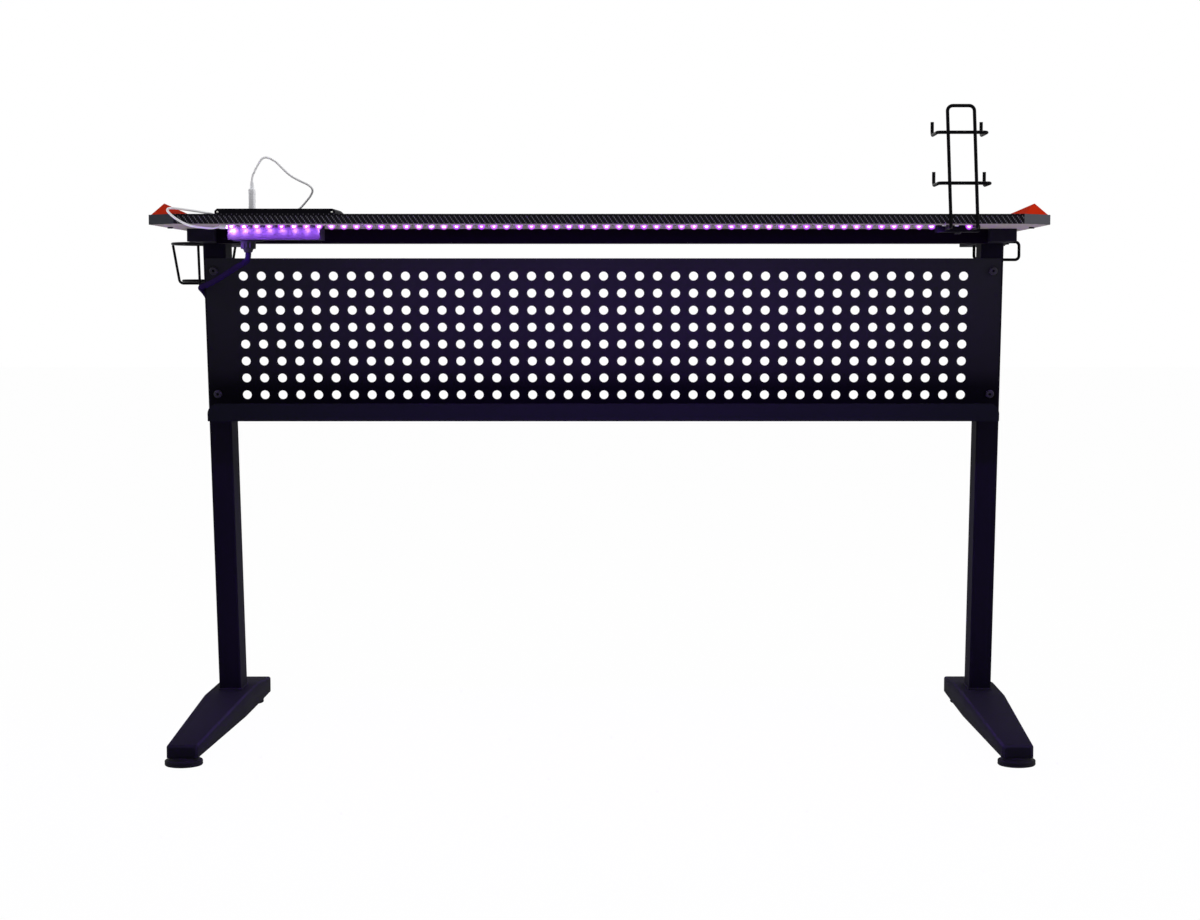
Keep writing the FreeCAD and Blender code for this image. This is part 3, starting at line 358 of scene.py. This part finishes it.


# carbon-look foil: twill tone between near black and grey, with the same weave as bump; the warp's light
# tone is a painted sheen of the strands
def foilMaterial(name, look):
    material, tree, shader, place = newMaterial(name)
    split = put(tree, "SeparateXYZ", Vector=place).outputs
    across = calc(tree, "MULTIPLY_ADD", split["Y"], look["yOnU"], split["X"])
    along = calc(tree, "MULTIPLY", split[look["second"]], look["stretch"])
    weave = put(tree, "CombineXYZ", X=across, Y=along)
    twill = useGroup(tree, twillGroup, Vector=weave.outputs[0], Strand=look["strand"])
    grain = useGroup(tree, grainGroup, Vector=place, Fine=look["fine"], Cloud=look["cloud"])
    tone = calc(tree, "MULTIPLY", twill["Tone"], spread(tree, grain["Cloud"], *look["toneSpread"]))
    # the weave stops just under the table's upper edge
    if look["seam"]:
        low, high = look["seam"]
        inside = put(tree, "MapRange", Value=split["Z"], From_Min=high, From_Max=low).outputs[0]
        tone = calc(tree, "MULTIPLY", tone, inside)
    colour = blendColour(tree, tone, look["dark"], look["light"])
    # on faces cut across a corner the weave runs out and the foil is greyer; the right one is paler, painted
    # light from the right
    facing = put(tree, "SeparateXYZ", Vector=put(tree, "NewGeometry").outputs["Normal"]).outputs
    skew = calc(tree, "ABSOLUTE", calc(tree, "MULTIPLY", facing["X"], facing["Y"]))
    least, most = look["cutSkew"]
    onCut = put(tree, "MapRange", Value=skew, From_Min=least, From_Max=most).outputs[0]
    atRight = calc(tree, "GREATER_THAN", split["X"], 0.0)
    cutColour = blendColour(tree, atRight, look["cutLeft"], look["cutRight"])
    tree.links.new(blendColour(tree, onCut, colour, cutColour), shader.inputs["Base Color"])
    tree.links.new(spread(tree, twill["Tone"], *look["gloss"]), shader.inputs["Roughness"])
    bump = put(tree, "Bump", Strength=look["bump"], Distance=bumpDepth, Height=twill["Height"])
    tree.links.new(bump.outputs[0], shader.inputs["Normal"])
    shader.inputs["Specular IOR Level"].default_value = look["specular"]
    return material


finishes["topFoil"] = foilMaterial("topFoil", foilLook)
finishes["edgeFoil"] = foilMaterial("edgeFoil", edgeLook)


# lit pieces: the colour changes a little from chip to chip; a glow fades with the square of the distance
# from its chip, along the strip and downwards
def litMaterial(name, look):
    material, tree, shader, place = newMaterial(name)
    split = put(tree, "SeparateXYZ", Vector=place).outputs
    steps = calc(tree, "DIVIDE", calc(tree, "SUBTRACT", split["X"], look["first"]), look["pitch"])
    chance = put(tree, "TexWhiteNoise", {"noise_dimensions": "1D"}, W=calc(tree, "FLOOR", steps))
    colour = blendColour(tree, chance.outputs["Value"], look["dim"], look["bright"])
    tree.links.new(colour, shader.inputs["Emission Color"])
    shader.inputs["Base Color"].default_value = (*look["body"], 1)
    shader.inputs["Emission Strength"].default_value = look["strength"]
    shader.inputs["Roughness"].default_value = look["roughness"]
    shader.inputs["Specular IOR Level"].default_value = look["specular"]
    if look["glow"]:
        reach, depth = look["glow"]
        offset = calc(tree, "SUBTRACT", calc(tree, "FRACT", steps), 0.5)
        aside = calc(tree, "MULTIPLY", offset, look["pitch"] / reach)
        below = calc(tree, "DIVIDE", calc(tree, "SUBTRACT", look["top"], split["Z"]), depth)
        far = calc(tree, "ADD", calc(tree, "MULTIPLY", aside, aside), calc(tree, "MULTIPLY", below, below))
        near = calc(tree, "MAXIMUM", calc(tree, "SUBTRACT", 1.0, far), 0.0)
        tree.links.new(calc(tree, "MULTIPLY", near, look["alpha"]), shader.inputs["Alpha"])
    return material


chipRow = {"first": -491.0, "pitch": 16.67, "count": 60, "y": 40.0, "under": 725.0, "strip": 0.4, "seed": 7,
           "unlit": [57, 58], "glowDrop": 1.6}
litBase = {"first": (chipRow["first"] + frameShift[0] - chipRow["pitch"] / 2) * mm,
           "pitch": chipRow["pitch"] * mm, "top": (chipRow["under"] - chipRow["glowDrop"]) * mm,
           "roughness": 0.2}
coreLook = {**litBase, "dim": (1.0, 0.80, 1.0), "bright": (1.0, 0.93, 1.0), "body": (0.9, 0.85, 0.95),
            "strength": 9.0, "specular": 0.5, "glow": None}
# the halos are a painted glow round each chip, fading outwards and downwards
dropLook = {**litBase, "dim": (0.42, 0.05, 0.90), "bright": (0.66, 0.16, 1.0), "body": (0.0, 0.0, 0.0),
            "strength": 2.6, "specular": 0.0, "glow": (0.0052, 0.0052), "alpha": 0.6}
finishes["chipCore"] = litMaterial("chipCore", coreLook)
finishes["chipHalo"] = litMaterial("chipHalo", dropLook)
print("finishes made,", len(finishes))

slotFinish = {"carbon_laminate": "topFoil", "board_core": "boardPaper", "trim_red": "redMould",
              "black_steel": "frameBlack", "black_wire": "wireBlack", "black_oxide": "blackOxide",
              "zinc_steel": "zincSteel", "black_plastic": "blackMould", "white_plastic": "whiteMould",
              "strip_white": "stripCoat", "led_lens": "chipCore", "circuit_green": "solderMask",
              "lead_black": "blackSheath", "lead_white": "whiteSheath"}
nodeFinish = {"edge_band": "edgeFoil", "modesty_panel": "panelBlack", "cable_tray": "trayBlack",
              "charger_body": "caseMould", "arm_left": "armBlack", "arm_right": "armBlack",
              "arm_caps": "armBlack", "rear_beam": "beamBlack"}
for part in frame["record"]["subparts"]:
    finish = nodeFinish.get(part["node"], slotFinish[part["material_slot"]])
    for slot in nodes[part["node"]].material_slots:
        slot.material = finishes[finish]
print("finishes set on the frame's nodes")

# Cords: each is one smooth line drawn along its route's control points

cordLook = {"roundness": 4, "smoothness": 6, "order": 3}


def cordPiece(name, look, material):
    points = toFrame(look["route"])
    curve = bpy.data.curves.new(name, "CURVE")
    curve.dimensions = "3D"
    curve.bevel_depth = look["radius"] * mm
    curve.bevel_resolution = cordLook["roundness"]
    curve.use_fill_caps = True
    curve.resolution_u = cordLook["smoothness"]
    spline = curve.splines.new("NURBS")
    spline.points.add(len(points) - 1)
    spline.points.foreach_set("co", np.hstack([points, np.ones((len(points), 1))]).ravel())
    spline.order_u = cordLook["order"]
    spline.use_endpoint_u = True
    curve.materials.append(material)
    piece = bpy.data.objects.new(name, curve)
    scene.collection.objects.link(piece)
    return piece, points


stripLead = {"radius": 1.5, "length": 0.512, "route": [
    (-507, 40, 722.3), (-510.2, 40, 722.3), (-515, 36.5, 720.2), (-524.5, 22.5, 720.6), (-537, -1.5, 721.8),
    (-549, -4, 727), (-560.5, -3, 734.6), (-566.6, 0.5, 740.2), (-568.6, 2, 743.2), (-566.8, 3, 745.4),
    (-561.5, 3.5, 745.7), (-553, 4, 744.7), (-541.7, 6, 743.3), (-527.5, 10, 741.3), (-521, 27, 740.2),
    (-519, 48, 740), (-518.5, 70, 739.8), (-518.5, 95, 739.7), (-514, 120, 739.7), (-496, 131.5, 739.7),
    (-468, 133, 739.7), (-441, 130, 739.9), (-424, 124, 743), (-411.1, 116, 749.3), (-402.5, 107, 757),
    (-393, 99, 766.5), (-389, 93, 774.5), (-394.5, 87, 780.6), (-407, 84.5, 786), (-419.6, 82, 793.2),
    (-429, 80.5, 802.5), (-439, 79, 813), (-453, 77, 818.5), (-461, 76, 807), (-466, 75.2, 796.5),
    (-469, 75, 790), (-469, 75, 784)]}
mainsLead = {"radius": 4.0, "length": 1.104, "route": [
    (-474, 70, 689), (-474.2, 70.5, 684), (-476, 74, 678.5), (-485.3, 90, 674), (-499.4, 120, 670.2),
    (-514.6, 155, 664.4), (-537.3, 205, 656.6), (-557.2, 250.1, 650.4), (-576, 284, 645.4),
    (-583.2, 292.9, 643.5), (-583, 312, 640), (-582.5, 335, 634), (-582.2, 352, 627), (-577.5, 362, 616),
    (-568.5, 366.5, 599), (-562.5, 367.1, 576), (-561, 374.2, 520), (-561, 421.8, 150),
    (-563.5, 429.5, 112), (-564.5, 437, 84), (-566, 448, 63.5), (-568, 467, 52), (-570.5, 490, 47.5),
    (-573.5, 519, 46), (-576.5, 547, 44), (-578.5, 567, 39.5), (-579, 585, 27), (-577, 603, 12.5),
    (-575, 623, 4.5), (-575, 640, 4.5)]}
stripCord, stripPoints = cordPiece("stripCord", stripLead, finishes["whiteSheath"])
finishPiece(stripCord, "desk", "lead_white", "led_lead")
mainsCord, mainsPoints = cordPiece("mainsCord", mainsLead, finishes["blackSheath"])
finishPiece(mainsCord, "desk", "lead_black", "mains_lead")
print("cords laid")

# Plug of the strip's lead: a rounded block carried up, drawn in along a quarter circle at both ends and
# pinched into ribs that follow a cosine, then a tapering neck with rings that follow another

plugLook = {"x": -469.0, "y": 75.0, "low": 744.0, "high": 774.0, "halfX": 3.8, "halfY": 8.0, "corner": 1.9,
            "rows": 41, "endShare": 0.05, "endRound": 0.9, "sideShare": 0.6, "cornerCut": 0.8,
            "ribs": 5, "ribDepth": 0.35, "ribHalf": 0.28}
neckLook = {"high": 784.0, "rows": 29, "radius": 3.2, "taper": 1.0, "sink": 0.3, "rings": 4,
            "ringDepth": 0.18, "steps": 24}


def usbGrip(look, neck):
    rise = np.linspace(0, 1, look["rows"])
    height = look["low"] + rise * (look["high"] - look["low"])
    edge = np.clip(np.minimum(rise, 1 - rise) / look["endShare"], 0, 1)
    inset = look["endRound"] * (1 - np.sqrt(1 - (1 - edge) ** 2))
    inRibs = np.abs(rise - 0.5) < look["ribHalf"]
    wave = look["ribs"] * (rise - 0.5 + look["ribHalf"]) / (2 * look["ribHalf"])
    pinch = look["ribDepth"] * inRibs * (0.5 - 0.5 * np.cos(2 * np.pi * wave))
    rings = []
    for z, cut in zip(height, inset + pinch):
        corner = look["corner"] - min(cut, look["cornerCut"])
        loop = roundedLoop(look["halfX"] - cut, look["halfY"] - cut * look["sideShare"], corner)
        rings.append(atHeight(loop + [look["x"], look["y"]], z))
    climb = np.linspace(0, 1, neck["rows"])
    groove = neck["ringDepth"] * (np.cos(2 * np.pi * neck["rings"] * climb) - 1)
    low = look["high"] - neck["sink"]
    radius = neck["radius"] - neck["taper"] * climb + groove
    profile = np.column_stack([radius, low + climb * (neck["high"] - low)])
    turned = turnedPoints(profile, (look["x"], look["y"]), neck["steps"])
    points, faces = joinedShells(np.array(rings), turned)
    return meshPiece("usbGrip", toFrame(points), faces, finishes["whiteMould"])


usbPlug = finishPiece(usbGrip(plugLook, neckLook), "desk", "white_plastic", "usb_plug")

# Light strip: square packages, bright cores and a painted glow hanging round each of them, with small
# resistors between
# a package is rings of half width and height; a dome is radius, depth, rings and steps; a resistor is half
# length, half width, corner and its steps

chipLook = {"package": ((2.2, -1.4), (2.5, -1.1), (2.5, 0.0)), "corner": 0.3, "cornerSteps": 3,
            "core": (1.9, 1.9, 4, 10), "coreLeast": 0.75, "coreSpread": 0.45, "coreDrop": 1.38,
            "drop": (5.2, 6.4, 7, 18), "dropSink": 0.05,
            "resistor": (1.1, 0.65, 0.15, 2), "resistorDeep": 0.55}
domeStop = 0.93


# rows shrink as a quarter ellipse from the rim to the tip, which hangs down and ends in a small flat
def halfDome(radius, depth, rings, steps):
    turn = np.linspace(0, np.pi / 2 * domeStop, rings)
    profile = np.column_stack([radius * np.cos(turn), -depth * np.sin(turn)])
    points = turnedPoints(profile[::-1], (0, 0), steps)
    return points.reshape(-1, 3), gridFaces(rings, steps, capFirst=True, capLast=True)


# a unit of each kind is worked out once and set down along the row
def chipPieces(row, look):
    picks = np.random.default_rng(row["seed"])
    along = row["first"] + row["pitch"] * np.arange(row["count"])
    even = np.ones(row["count"])
    places = np.column_stack([along, row["y"] * even, (row["under"] - row["strip"]) * even])
    block = np.array([atHeight(roundedLoop(half, half, look["corner"], look["cornerSteps"]), z)
                      for half, z in look["package"]])
    faces = gridFaces(*block.shape[:2], capFirst=True, capLast=True)
    points, allFaces = repeated(block.reshape(-1, 3), faces, places, even)
    packages = meshPiece("chipPackages", toFrame(points), allFaces, finishes["whiteMould"], False)
    finishPiece(packages, "desk", "led_lens", "led_chips")
    sizes = look["coreLeast"] + look["coreSpread"] * picks.random(row["count"])
    lit = np.delete(np.arange(row["count"]), row["unlit"])
    unit, faces = halfDome(*look["core"])
    points, allFaces = repeated(unit, faces, places[lit] - [0, 0, look["coreDrop"]], sizes[lit])
    finishPiece(meshPiece("chipCores", toFrame(points), allFaces, finishes["chipCore"]), "desk", "led_lens")
    unit, faces = halfDome(*look["drop"])
    points, allFaces = repeated(unit, faces, places[lit] - [0, 0, look["dropSink"]], even[lit])
    finishPiece(meshPiece("chipHalos", toFrame(points), allFaces, finishes["chipHalo"]), "desk", "led_lens")
    loop = roundedLoop(*look["resistor"])
    block = np.array([atHeight(loop, z) for z in (-look["resistorDeep"], 0.0)])
    faces = gridFaces(*block.shape[:2], capFirst=True, capLast=True)
    between = places[:-1] + [row["pitch"] / 2, 0, 0]
    points, allFaces = repeated(block.reshape(-1, 3), faces, between, even[:-1])
    resistors = meshPiece("stripResistors", toFrame(points), allFaces, finishes["blackMould"], False)
    finishPiece(resistors, "desk", "black_plastic")


chipPieces(chipRow, chipLook)
print("light strip dressed")

# Corner trims: four-sided pyramids with softened edges

trimLook = {"foot": [(541, 0), (560, 0), (597, 35), (597, 210)], "apex": (578, 30), "low": 738.0,
            "high": 753.0, "softEdge": 0.7, "softSteps": 2}


def trimPiece(name, side, look):
    ring = [(side * x, y, look["low"]) for x, y in look["foot"]]
    points = toFrame(ring + [(side * look["apex"][0], look["apex"][1], look["high"])])
    faces = [[k, (k + 1) % 4, 4] for k in range(4)] + [[3, 2, 1, 0]]
    if side < 0:
        faces = [face[::-1] for face in faces]
    piece = meshPiece(name, points, faces, finishes["redMould"], False)
    bevel = piece.modifiers.new("softEdge", "BEVEL")
    bevel.width = look["softEdge"] * mm
    bevel.segments = look["softSteps"]
    return piece


for name, side in sides.items():
    finishPiece(trimPiece("trim_" + name, side, trimLook), "desk", "trim_red", "corner_trim_" + name)
print("corner trims made")

# Columns: a rounded rectangle carried up the lean

lean = math.radians(7.33)
columnLook = {"x": 561.0, "halfX": 16.25, "halfY": 27.725, "corner": 3.0, "baseY": 371.0, "low": 44.0,
              "high": 707.0, "leanTan": math.tan(lean)}


def columnPiece(name, side, look):
    rise = np.array([0.0, look["high"] - look["low"]])
    loop = roundedLoop(look["halfX"], look["halfY"], look["corner"])
    x = np.repeat(loop[None, :, 0] + side * look["x"], 2, 0)
    y = loop[None, :, 1] + look["baseY"] + look["halfY"] - (rise * look["leanTan"])[:, None]
    z = np.repeat((look["low"] + rise)[:, None], len(loop), 1)
    points = np.stack([x, y, z], -1)
    faces = gridFaces(2, len(loop), capFirst=True, capLast=True)
    return meshPiece(name, toFrame(points), faces, finishes["frameBlack"], False)


for name, side in sides.items():
    finishPiece(columnPiece("post_" + name, side, columnLook), "desk", "black_steel", "column_" + name)
print("columns made")

# Feet: a section with rounded shoulders carried from the rear end to the front, open below; its width and
# height run straight between the stations and draw in along a quarter circle at both ends

footLook = {"x": 561.0, "low": 11.5, "wall": 2.0, "shoulder": 3.5, "endRound": 4.0, "arcSteps": 6,
            "ys": (12.0, 330.0, 440.0, 556.0), "wides": (42.0, 62.0, 62.0, 61.0),
            "tops": (29.0, 44.0, 44.0, 34.5), "endHighlight": 3.0,
            "rows": (120, 230, 310, 330, 350, 385, 420, 440, 460, 500)}


def footPiece(name, side, look):
    arc = np.linspace(0, np.pi / 2, look["arcSteps"])
    inset = look["endRound"] * (1 - np.sin(arc))
    step = look["endRound"] * (1 - np.cos(arc))
    first, last = look["ys"][0], look["ys"][-1]
    ys = np.concatenate([first + step, look["rows"], (last - step)[::-1]])
    cuts = np.concatenate([inset, np.zeros(len(look["rows"])), inset[::-1]])
    half = np.interp(ys, look["ys"], look["wides"]) / 2 - cuts
    top = np.interp(ys, look["ys"], look["tops"]) - cuts
    # up one side from the rim, over both shoulders and down to the other rim
    r = look["shoulder"]
    u = np.concatenate([[1.0], np.ones(len(arc)), np.full(len(arc), -1.0), [-1.0]])
    du = np.concatenate([[0.0], r * (np.cos(arc) - 1), r * (1 - np.sin(arc)), [0.0]])
    dz = np.concatenate([[np.nan], r * (np.sin(arc) - 1), r * (np.cos(arc) - 1), [np.nan]])
    x = half[:, None] * u + du
    z = np.where(np.isnan(dz), look["low"], top[:, None] + np.nan_to_num(dz))
    points = np.stack([x + side * look["x"], np.repeat(ys[:, None], len(u), 1), z], -1)
    faces = gridFaces(len(ys), len(u), False, True, True)
    piece = meshPiece(name, toFrame(points), [face[::-1] for face in faces], finishes["footBlack"])
    for cap in list(piece.data.polygons)[-2:]:
        cap.use_smooth = False
    # painted highlight: the coat is lighter along the shoulders and round the ends
    onShoulder = np.concatenate([[0.0], np.sin(2 * arc), np.sin(2 * arc), [0.0]])
    onEnd = cuts / look["endRound"]
    litEnd = np.minimum(1, look["endHighlight"] * onEnd * (1 - onEnd))
    highlight = np.maximum(onShoulder[None] * (1 - onEnd)[:, None], litEnd[:, None])
    mask = piece.data.attributes.new("edgeHighlight", "FLOAT", "POINT")
    mask.data.foreach_set("value", highlight.ravel())
    shell = piece.modifiers.new("wall", "SOLIDIFY")
    shell.thickness = look["wall"] * mm
    shell.offset = -1
    return piece


# a turned sleeve over each glide's stud, closed on top, with a stepped bore from below
bossLook = {"tops": {"rear": 27.4, "front": 35.6}, "radius": 12.0, "low": 11.5, "pocket": (7.05, 21.5),
            "bore": (4.3, 25.0), "steps": 28}
glideYs = {"rear": 25.0, "front": 515.0}


def bossPiece(name, side, end, look):
    pocket, pocketTop = look["pocket"]
    bore, boreTop = look["bore"]
    profile = [(look["radius"], look["tops"][end]), (look["radius"], look["low"]), (pocket, look["low"]),
               (pocket, pocketTop), (bore, pocketTop), (bore, boreTop)]
    boss = turnedPoints(profile, (side * footLook["x"], glideYs[end]), look["steps"])
    faces = [face[::-1] for face in gridFaces(*boss.shape[:2], capFirst=True, capLast=True)]
    return meshPiece(name, toFrame(boss), faces, finishes["frameBlack"], False)


for name, side in sides.items():
    finishPiece(footPiece("footShell_" + name, side, footLook), "desk", "black_steel", "foot_" + name)
    for end in glideYs:
        boss = bossPiece("footBoss_" + end + "_" + name, side, end, bossLook)
        finishPiece(boss, "desk", "black_steel")
print("feet made")

# Levelling glides: a turned pad with rounded rims and a groove round its middle

padLook = {"steps": 56, "profile": [
    (0.4, 0.0), (23.1, 0.0), (24.3, 0.3), (25.2, 1.1), (25.5, 2.2), (25.4, 3.4), (24.8, 3.8), (24.8, 4.3),
    (25.4, 4.7), (25.5, 5.9), (25.1, 7.1), (24.1, 7.8), (22.9, 8.0), (20.8, 8.3), (20.1, 9.0),
    (20.0, 9.6), (20.0, 10.4), (19.6, 11.0), (18.8, 11.2), (4.1, 11.2)]}
for end, y in glideYs.items():
    for name, side in sides.items():
        pad = turnedPoints(padLook["profile"], (side * footLook["x"], y), padLook["steps"])
        faces = gridFaces(*pad.shape[:2], capFirst=True, capLast=True)
        label = end + "_" + name
        piece = meshPiece("pad_" + label, toFrame(pad), faces, finishes["blackMould"])
        finishPiece(piece, "glide_" + label + "_foot", "black_plastic", "glide_" + label)
print("glides made")

# Weld beads: a thin round bar laid round each column's foot

beadLook = {"radius": 1.9, "z": 44.6, "steps": 8, "gap": 0.4}


def beadPiece(name, side, look, column):
    gap = look["gap"]
    loop = roundedLoop(column["halfX"] + gap, column["halfY"] + gap, column["corner"] + gap)
    centre = loop + [side * column["x"], column["baseY"] + column["halfY"]]
    outward = loop / np.linalg.norm(loop, axis=1, keepdims=True)
    turn = np.linspace(0, 2 * np.pi, look["steps"], endpoint=False)
    flat = centre[:, None] + outward[:, None] * (look["radius"] * np.cos(turn))[None, :, None]
    height = np.broadcast_to(look["z"] + look["radius"] * np.sin(turn), flat.shape[:2])
    points = np.concatenate([flat, height[..., None]], -1)
    rows = np.concatenate([points, points[:1]])
    return meshPiece(name, toFrame(rows), gridFaces(*rows.shape[:2]), finishes["armBlack"])


for name, side in sides.items():
    finishPiece(beadPiece("footBead_" + name, side, beadLook, columnLook), "desk", "black_steel")
print("weld beads laid")

# Gland: an eared plate, a barrel with grip ribs (its radius waves with the angle) and a collar

glandLook = {"x": -474.0, "y": 70.0, "top": 705.6, "ear": (20.0, 8.0, 5.3), "earHigh": 1.5, "ribs": 12,
             "ribDepth": 0.07, "ribZone": (694.5, 702.0), "steps": 96, "profile": [
                 (4.1, 689.0), (5.1, 689.0), (5.4, 689.4), (6.6, 692.6), (7.0, 693.4), (9.4, 693.7),
                 (10.1, 694.3), (10.3, 695.0), (10.3, 701.6), (10.0, 702.2), (10.0, 702.8), (10.3, 703.2),
                 (10.3, 704.6)]}


def glandPiece(look):
    place = (look["x"], look["y"])
    loop = roundedLoop(*look["ear"]) + place
    ear = np.array([atHeight(loop, z) for z in (look["top"] - look["earHigh"], look["top"])])

    def ribs(angle, height):
        low, high = look["ribZone"]
        zone = (height > low) & (height < high)
        return 1 + np.where(zone, look["ribDepth"] * (np.cos(look["ribs"] * angle) - 1), 0.0)

    barrel = turnedPoints(look["profile"], place, look["steps"], ribs)
    points, faces = joinedShells(ear, barrel)
    return meshPiece("glandGrip", toFrame(points), faces, finishes["glandMould"], False)


finishPiece(glandPiece(glandLook), "desk", "black_plastic", "cable_gland")
print("gland made")

# Bezel pins: two bright domes on the rear face of the charger's bezel

pinLook = {"xs": (-507.0, -355.0), "y": 27.0, "z": 741.2, "dome": (1.5, 0.9, 5, 16)}


def pinPiece(look):
    unit, faces = halfDome(*look["dome"])
    rear = np.column_stack([unit[:, 0], unit[:, 2], -unit[:, 1]])
    places = [(x, look["y"], look["z"]) for x in look["xs"]]
    points, allFaces = repeated(rear, faces, places, np.ones(len(places)))
    return meshPiece("bezelPins", toFrame(points), allFaces, finishes["zincSteel"])


finishPiece(pinPiece(pinLook), "desk", "zinc_steel")
print("pins made")

# Sockets of the panel's bolts: a shallow cup in each head, square to the leaning panel, in the near-black
# wire coat as painted shade in the recess

socketLook = {"xs": (-562.5, 562.5), "up": (448.96, 628.96), "out": -4.45, "cup": (1.95, 0.5, 3, 18)}


def socketPiece(look, column):
    unit, faces = halfDome(*look["cup"])
    spots = [(x, look["out"], up) for x in look["xs"] for up in look["up"]]
    inward = np.column_stack([unit[:, 0], -unit[:, 2], unit[:, 1]])
    points, allFaces = repeated(inward, faces, spots, np.ones(len(spots)))
    # turned about the columns' foot by the lean
    y, z = points[:, 1], points[:, 2]
    leanY = column["baseY"] + y * math.cos(lean) - z * math.sin(lean)
    leanZ = column["low"] + y * math.sin(lean) + z * math.cos(lean)
    placed = np.column_stack([points[:, 0], leanY, leanZ])
    return meshPiece("boltSockets", toFrame(placed), allFaces, finishes["wireBlack"])


finishPiece(socketPiece(socketLook, columnLook), "desk", "black_oxide")
print("sockets made")

# Stage and light

# one where a ray sees or mirrors the room, which is then plain white
def seenRay(tree):
    path = put(tree, "LightPath").outputs
    direct = calc(tree, "MAXIMUM", path["Is Camera Ray"], path["Is Transmission Ray"])
    return calc(tree, "MAXIMUM", direct, path["Is Glossy Ray"])


# what is seen of the floor is nearly all its own light; the rest takes the object's shadow
def stageMaterial(name, look):
    material = bpy.data.materials.new(name)
    material.use_nodes = True
    tree = material.node_tree
    shader = tree.nodes["Principled BSDF"]
    shader.inputs["Base Color"].default_value = (*look["colour"], 1)
    shader.inputs["Roughness"].default_value = look["roughness"]
    shader.inputs["Specular IOR Level"].default_value = 0.0
    glow = put(tree, "Emission", Color=(1, 1, 1, 1), Strength=1.0)
    share = calc(tree, "MULTIPLY", seenRay(tree), look["share"])
    mixed = put(tree, "MixShader", i0=share, i1=shader.outputs[0], i2=glow.outputs[0])
    tree.links.new(mixed.outputs[0], tree.nodes["Material Output"].inputs["Surface"])
    return material


floorLook = {"colour": (0.80, 0.80, 0.80), "roughness": 0.9, "share": 0.985, "half": 20.0}
half = floorLook["half"]
floorPoints = [(-half, -half, 0), (half, -half, 0), (half, half, 0), (-half, half, 0)]
floor = meshPiece("paleFloor", floorPoints, [[0, 1, 2, 3]], stageMaterial("paleFloor", floorLook), False)

# the room is dimmer behind the camera and overhead than at the sides; seen or mirrored it is white
worldLook = {"dark": 0.40, "bright": 0.75, "darkAt": -0.85, "brightAt": 0.15, "overhead": 0.36,
             "overheadFrom": 0.2}
world = bpy.data.worlds.new("paleRoom")
scene.world = world
world.use_nodes = True
worldTree = world.node_tree
sky = worldTree.nodes["Background"]
sky.inputs["Color"].default_value = (1, 1, 1, 1)
toward = put(worldTree, "SeparateXYZ", Vector=put(worldTree, "TexCoord").outputs["Generated"]).outputs
level = put(worldTree, "MapRange", Value=toward["Y"], From_Min=worldLook["darkAt"],
            From_Max=worldLook["brightAt"], To_Min=worldLook["dark"], To_Max=worldLook["bright"])
overhead = put(worldTree, "MapRange", Value=toward["Z"], From_Min=worldLook["overheadFrom"], To_Min=1.0,
               To_Max=worldLook["overhead"])
room = calc(worldTree, "MULTIPLY", level.outputs[0], overhead.outputs[0])
worldTree.links.new(calc(worldTree, "MAXIMUM", room, seenRay(worldTree)), sky.inputs["Strength"])


# a flat lamp that shines straight down until it is turned
def areaLamp(name, look):
    data = bpy.data.lights.new(name, "AREA")
    data.shape = "RECTANGLE"
    data.size, data.size_y = look["size"]
    data.energy = look["watts"]
    data.color = look["colour"]
    lamp = bpy.data.objects.new(name, data)
    lamp.location = look["place"]
    lamp.rotation_euler = [math.radians(a) for a in look["turn"]]
    scene.collection.objects.link(lamp)


lamps = {
    "topSoftbox": {"size": (3.0, 2.0), "watts": 22.0, "colour": (1, 1, 1), "place": (0.2, 0.2, 3.0),
                   "turn": (0, 0, 0)},
    "rightSoftbox": {"size": (1.4, 2.0), "watts": 42.0, "colour": (1, 1, 1), "place": (2.9, -0.7, 1.3),
                     "turn": (80, 0, 76)},
    "leftSoftbox": {"size": (1.4, 2.0), "watts": 24.0, "colour": (0.97, 0.97, 1), "place": (-2.9, -0.7, 1.3),
                    "turn": (80, 0, -76)},
    "stripGlow": {"size": (0.943, 0.006), "watts": 12.0, "colour": (0.34, 0.085, 1.0),
                  "place": (0.0025, -0.2575, 0.7228), "turn": (0, 0, 0)},
}
for name, look in lamps.items():
    areaLamp(name, look)

# a small lamp behind each of the first chips throws a bright spot on the charger's rear face,
# and one beside the gland stands for the light that the face throws on it
spotLook = {"count": 8, "y": 45.4, "z": 717.5, "size": (0.004, 0.003), "watts": 0.024, "firstBoost": 3.0,
            "colour": (0.78, 0.36, 1.0), "turn": (80, 0, 0)}
glandSpot = {"size": (0.008, 0.008), "watts": 0.028, "colour": (0.34, 0.12, 1.0),
             "place": tuple(toFrame((-492.0, 48.0, 697.0))), "turn": (90, 0, -40)}
for k in range(spotLook["count"]):
    place = toFrame((chipRow["first"] + k * chipRow["pitch"], spotLook["y"], spotLook["z"]))
    # the first chips shine strongest
    watts = spotLook["watts"] * (1 + spotLook["firstBoost"] / (1 + k) ** 2)
    areaLamp("chipSpot" + str(k), dict(spotLook, place=place, watts=watts))
areaLamp("glandSpot", glandSpot)
print("stage and lamps set")
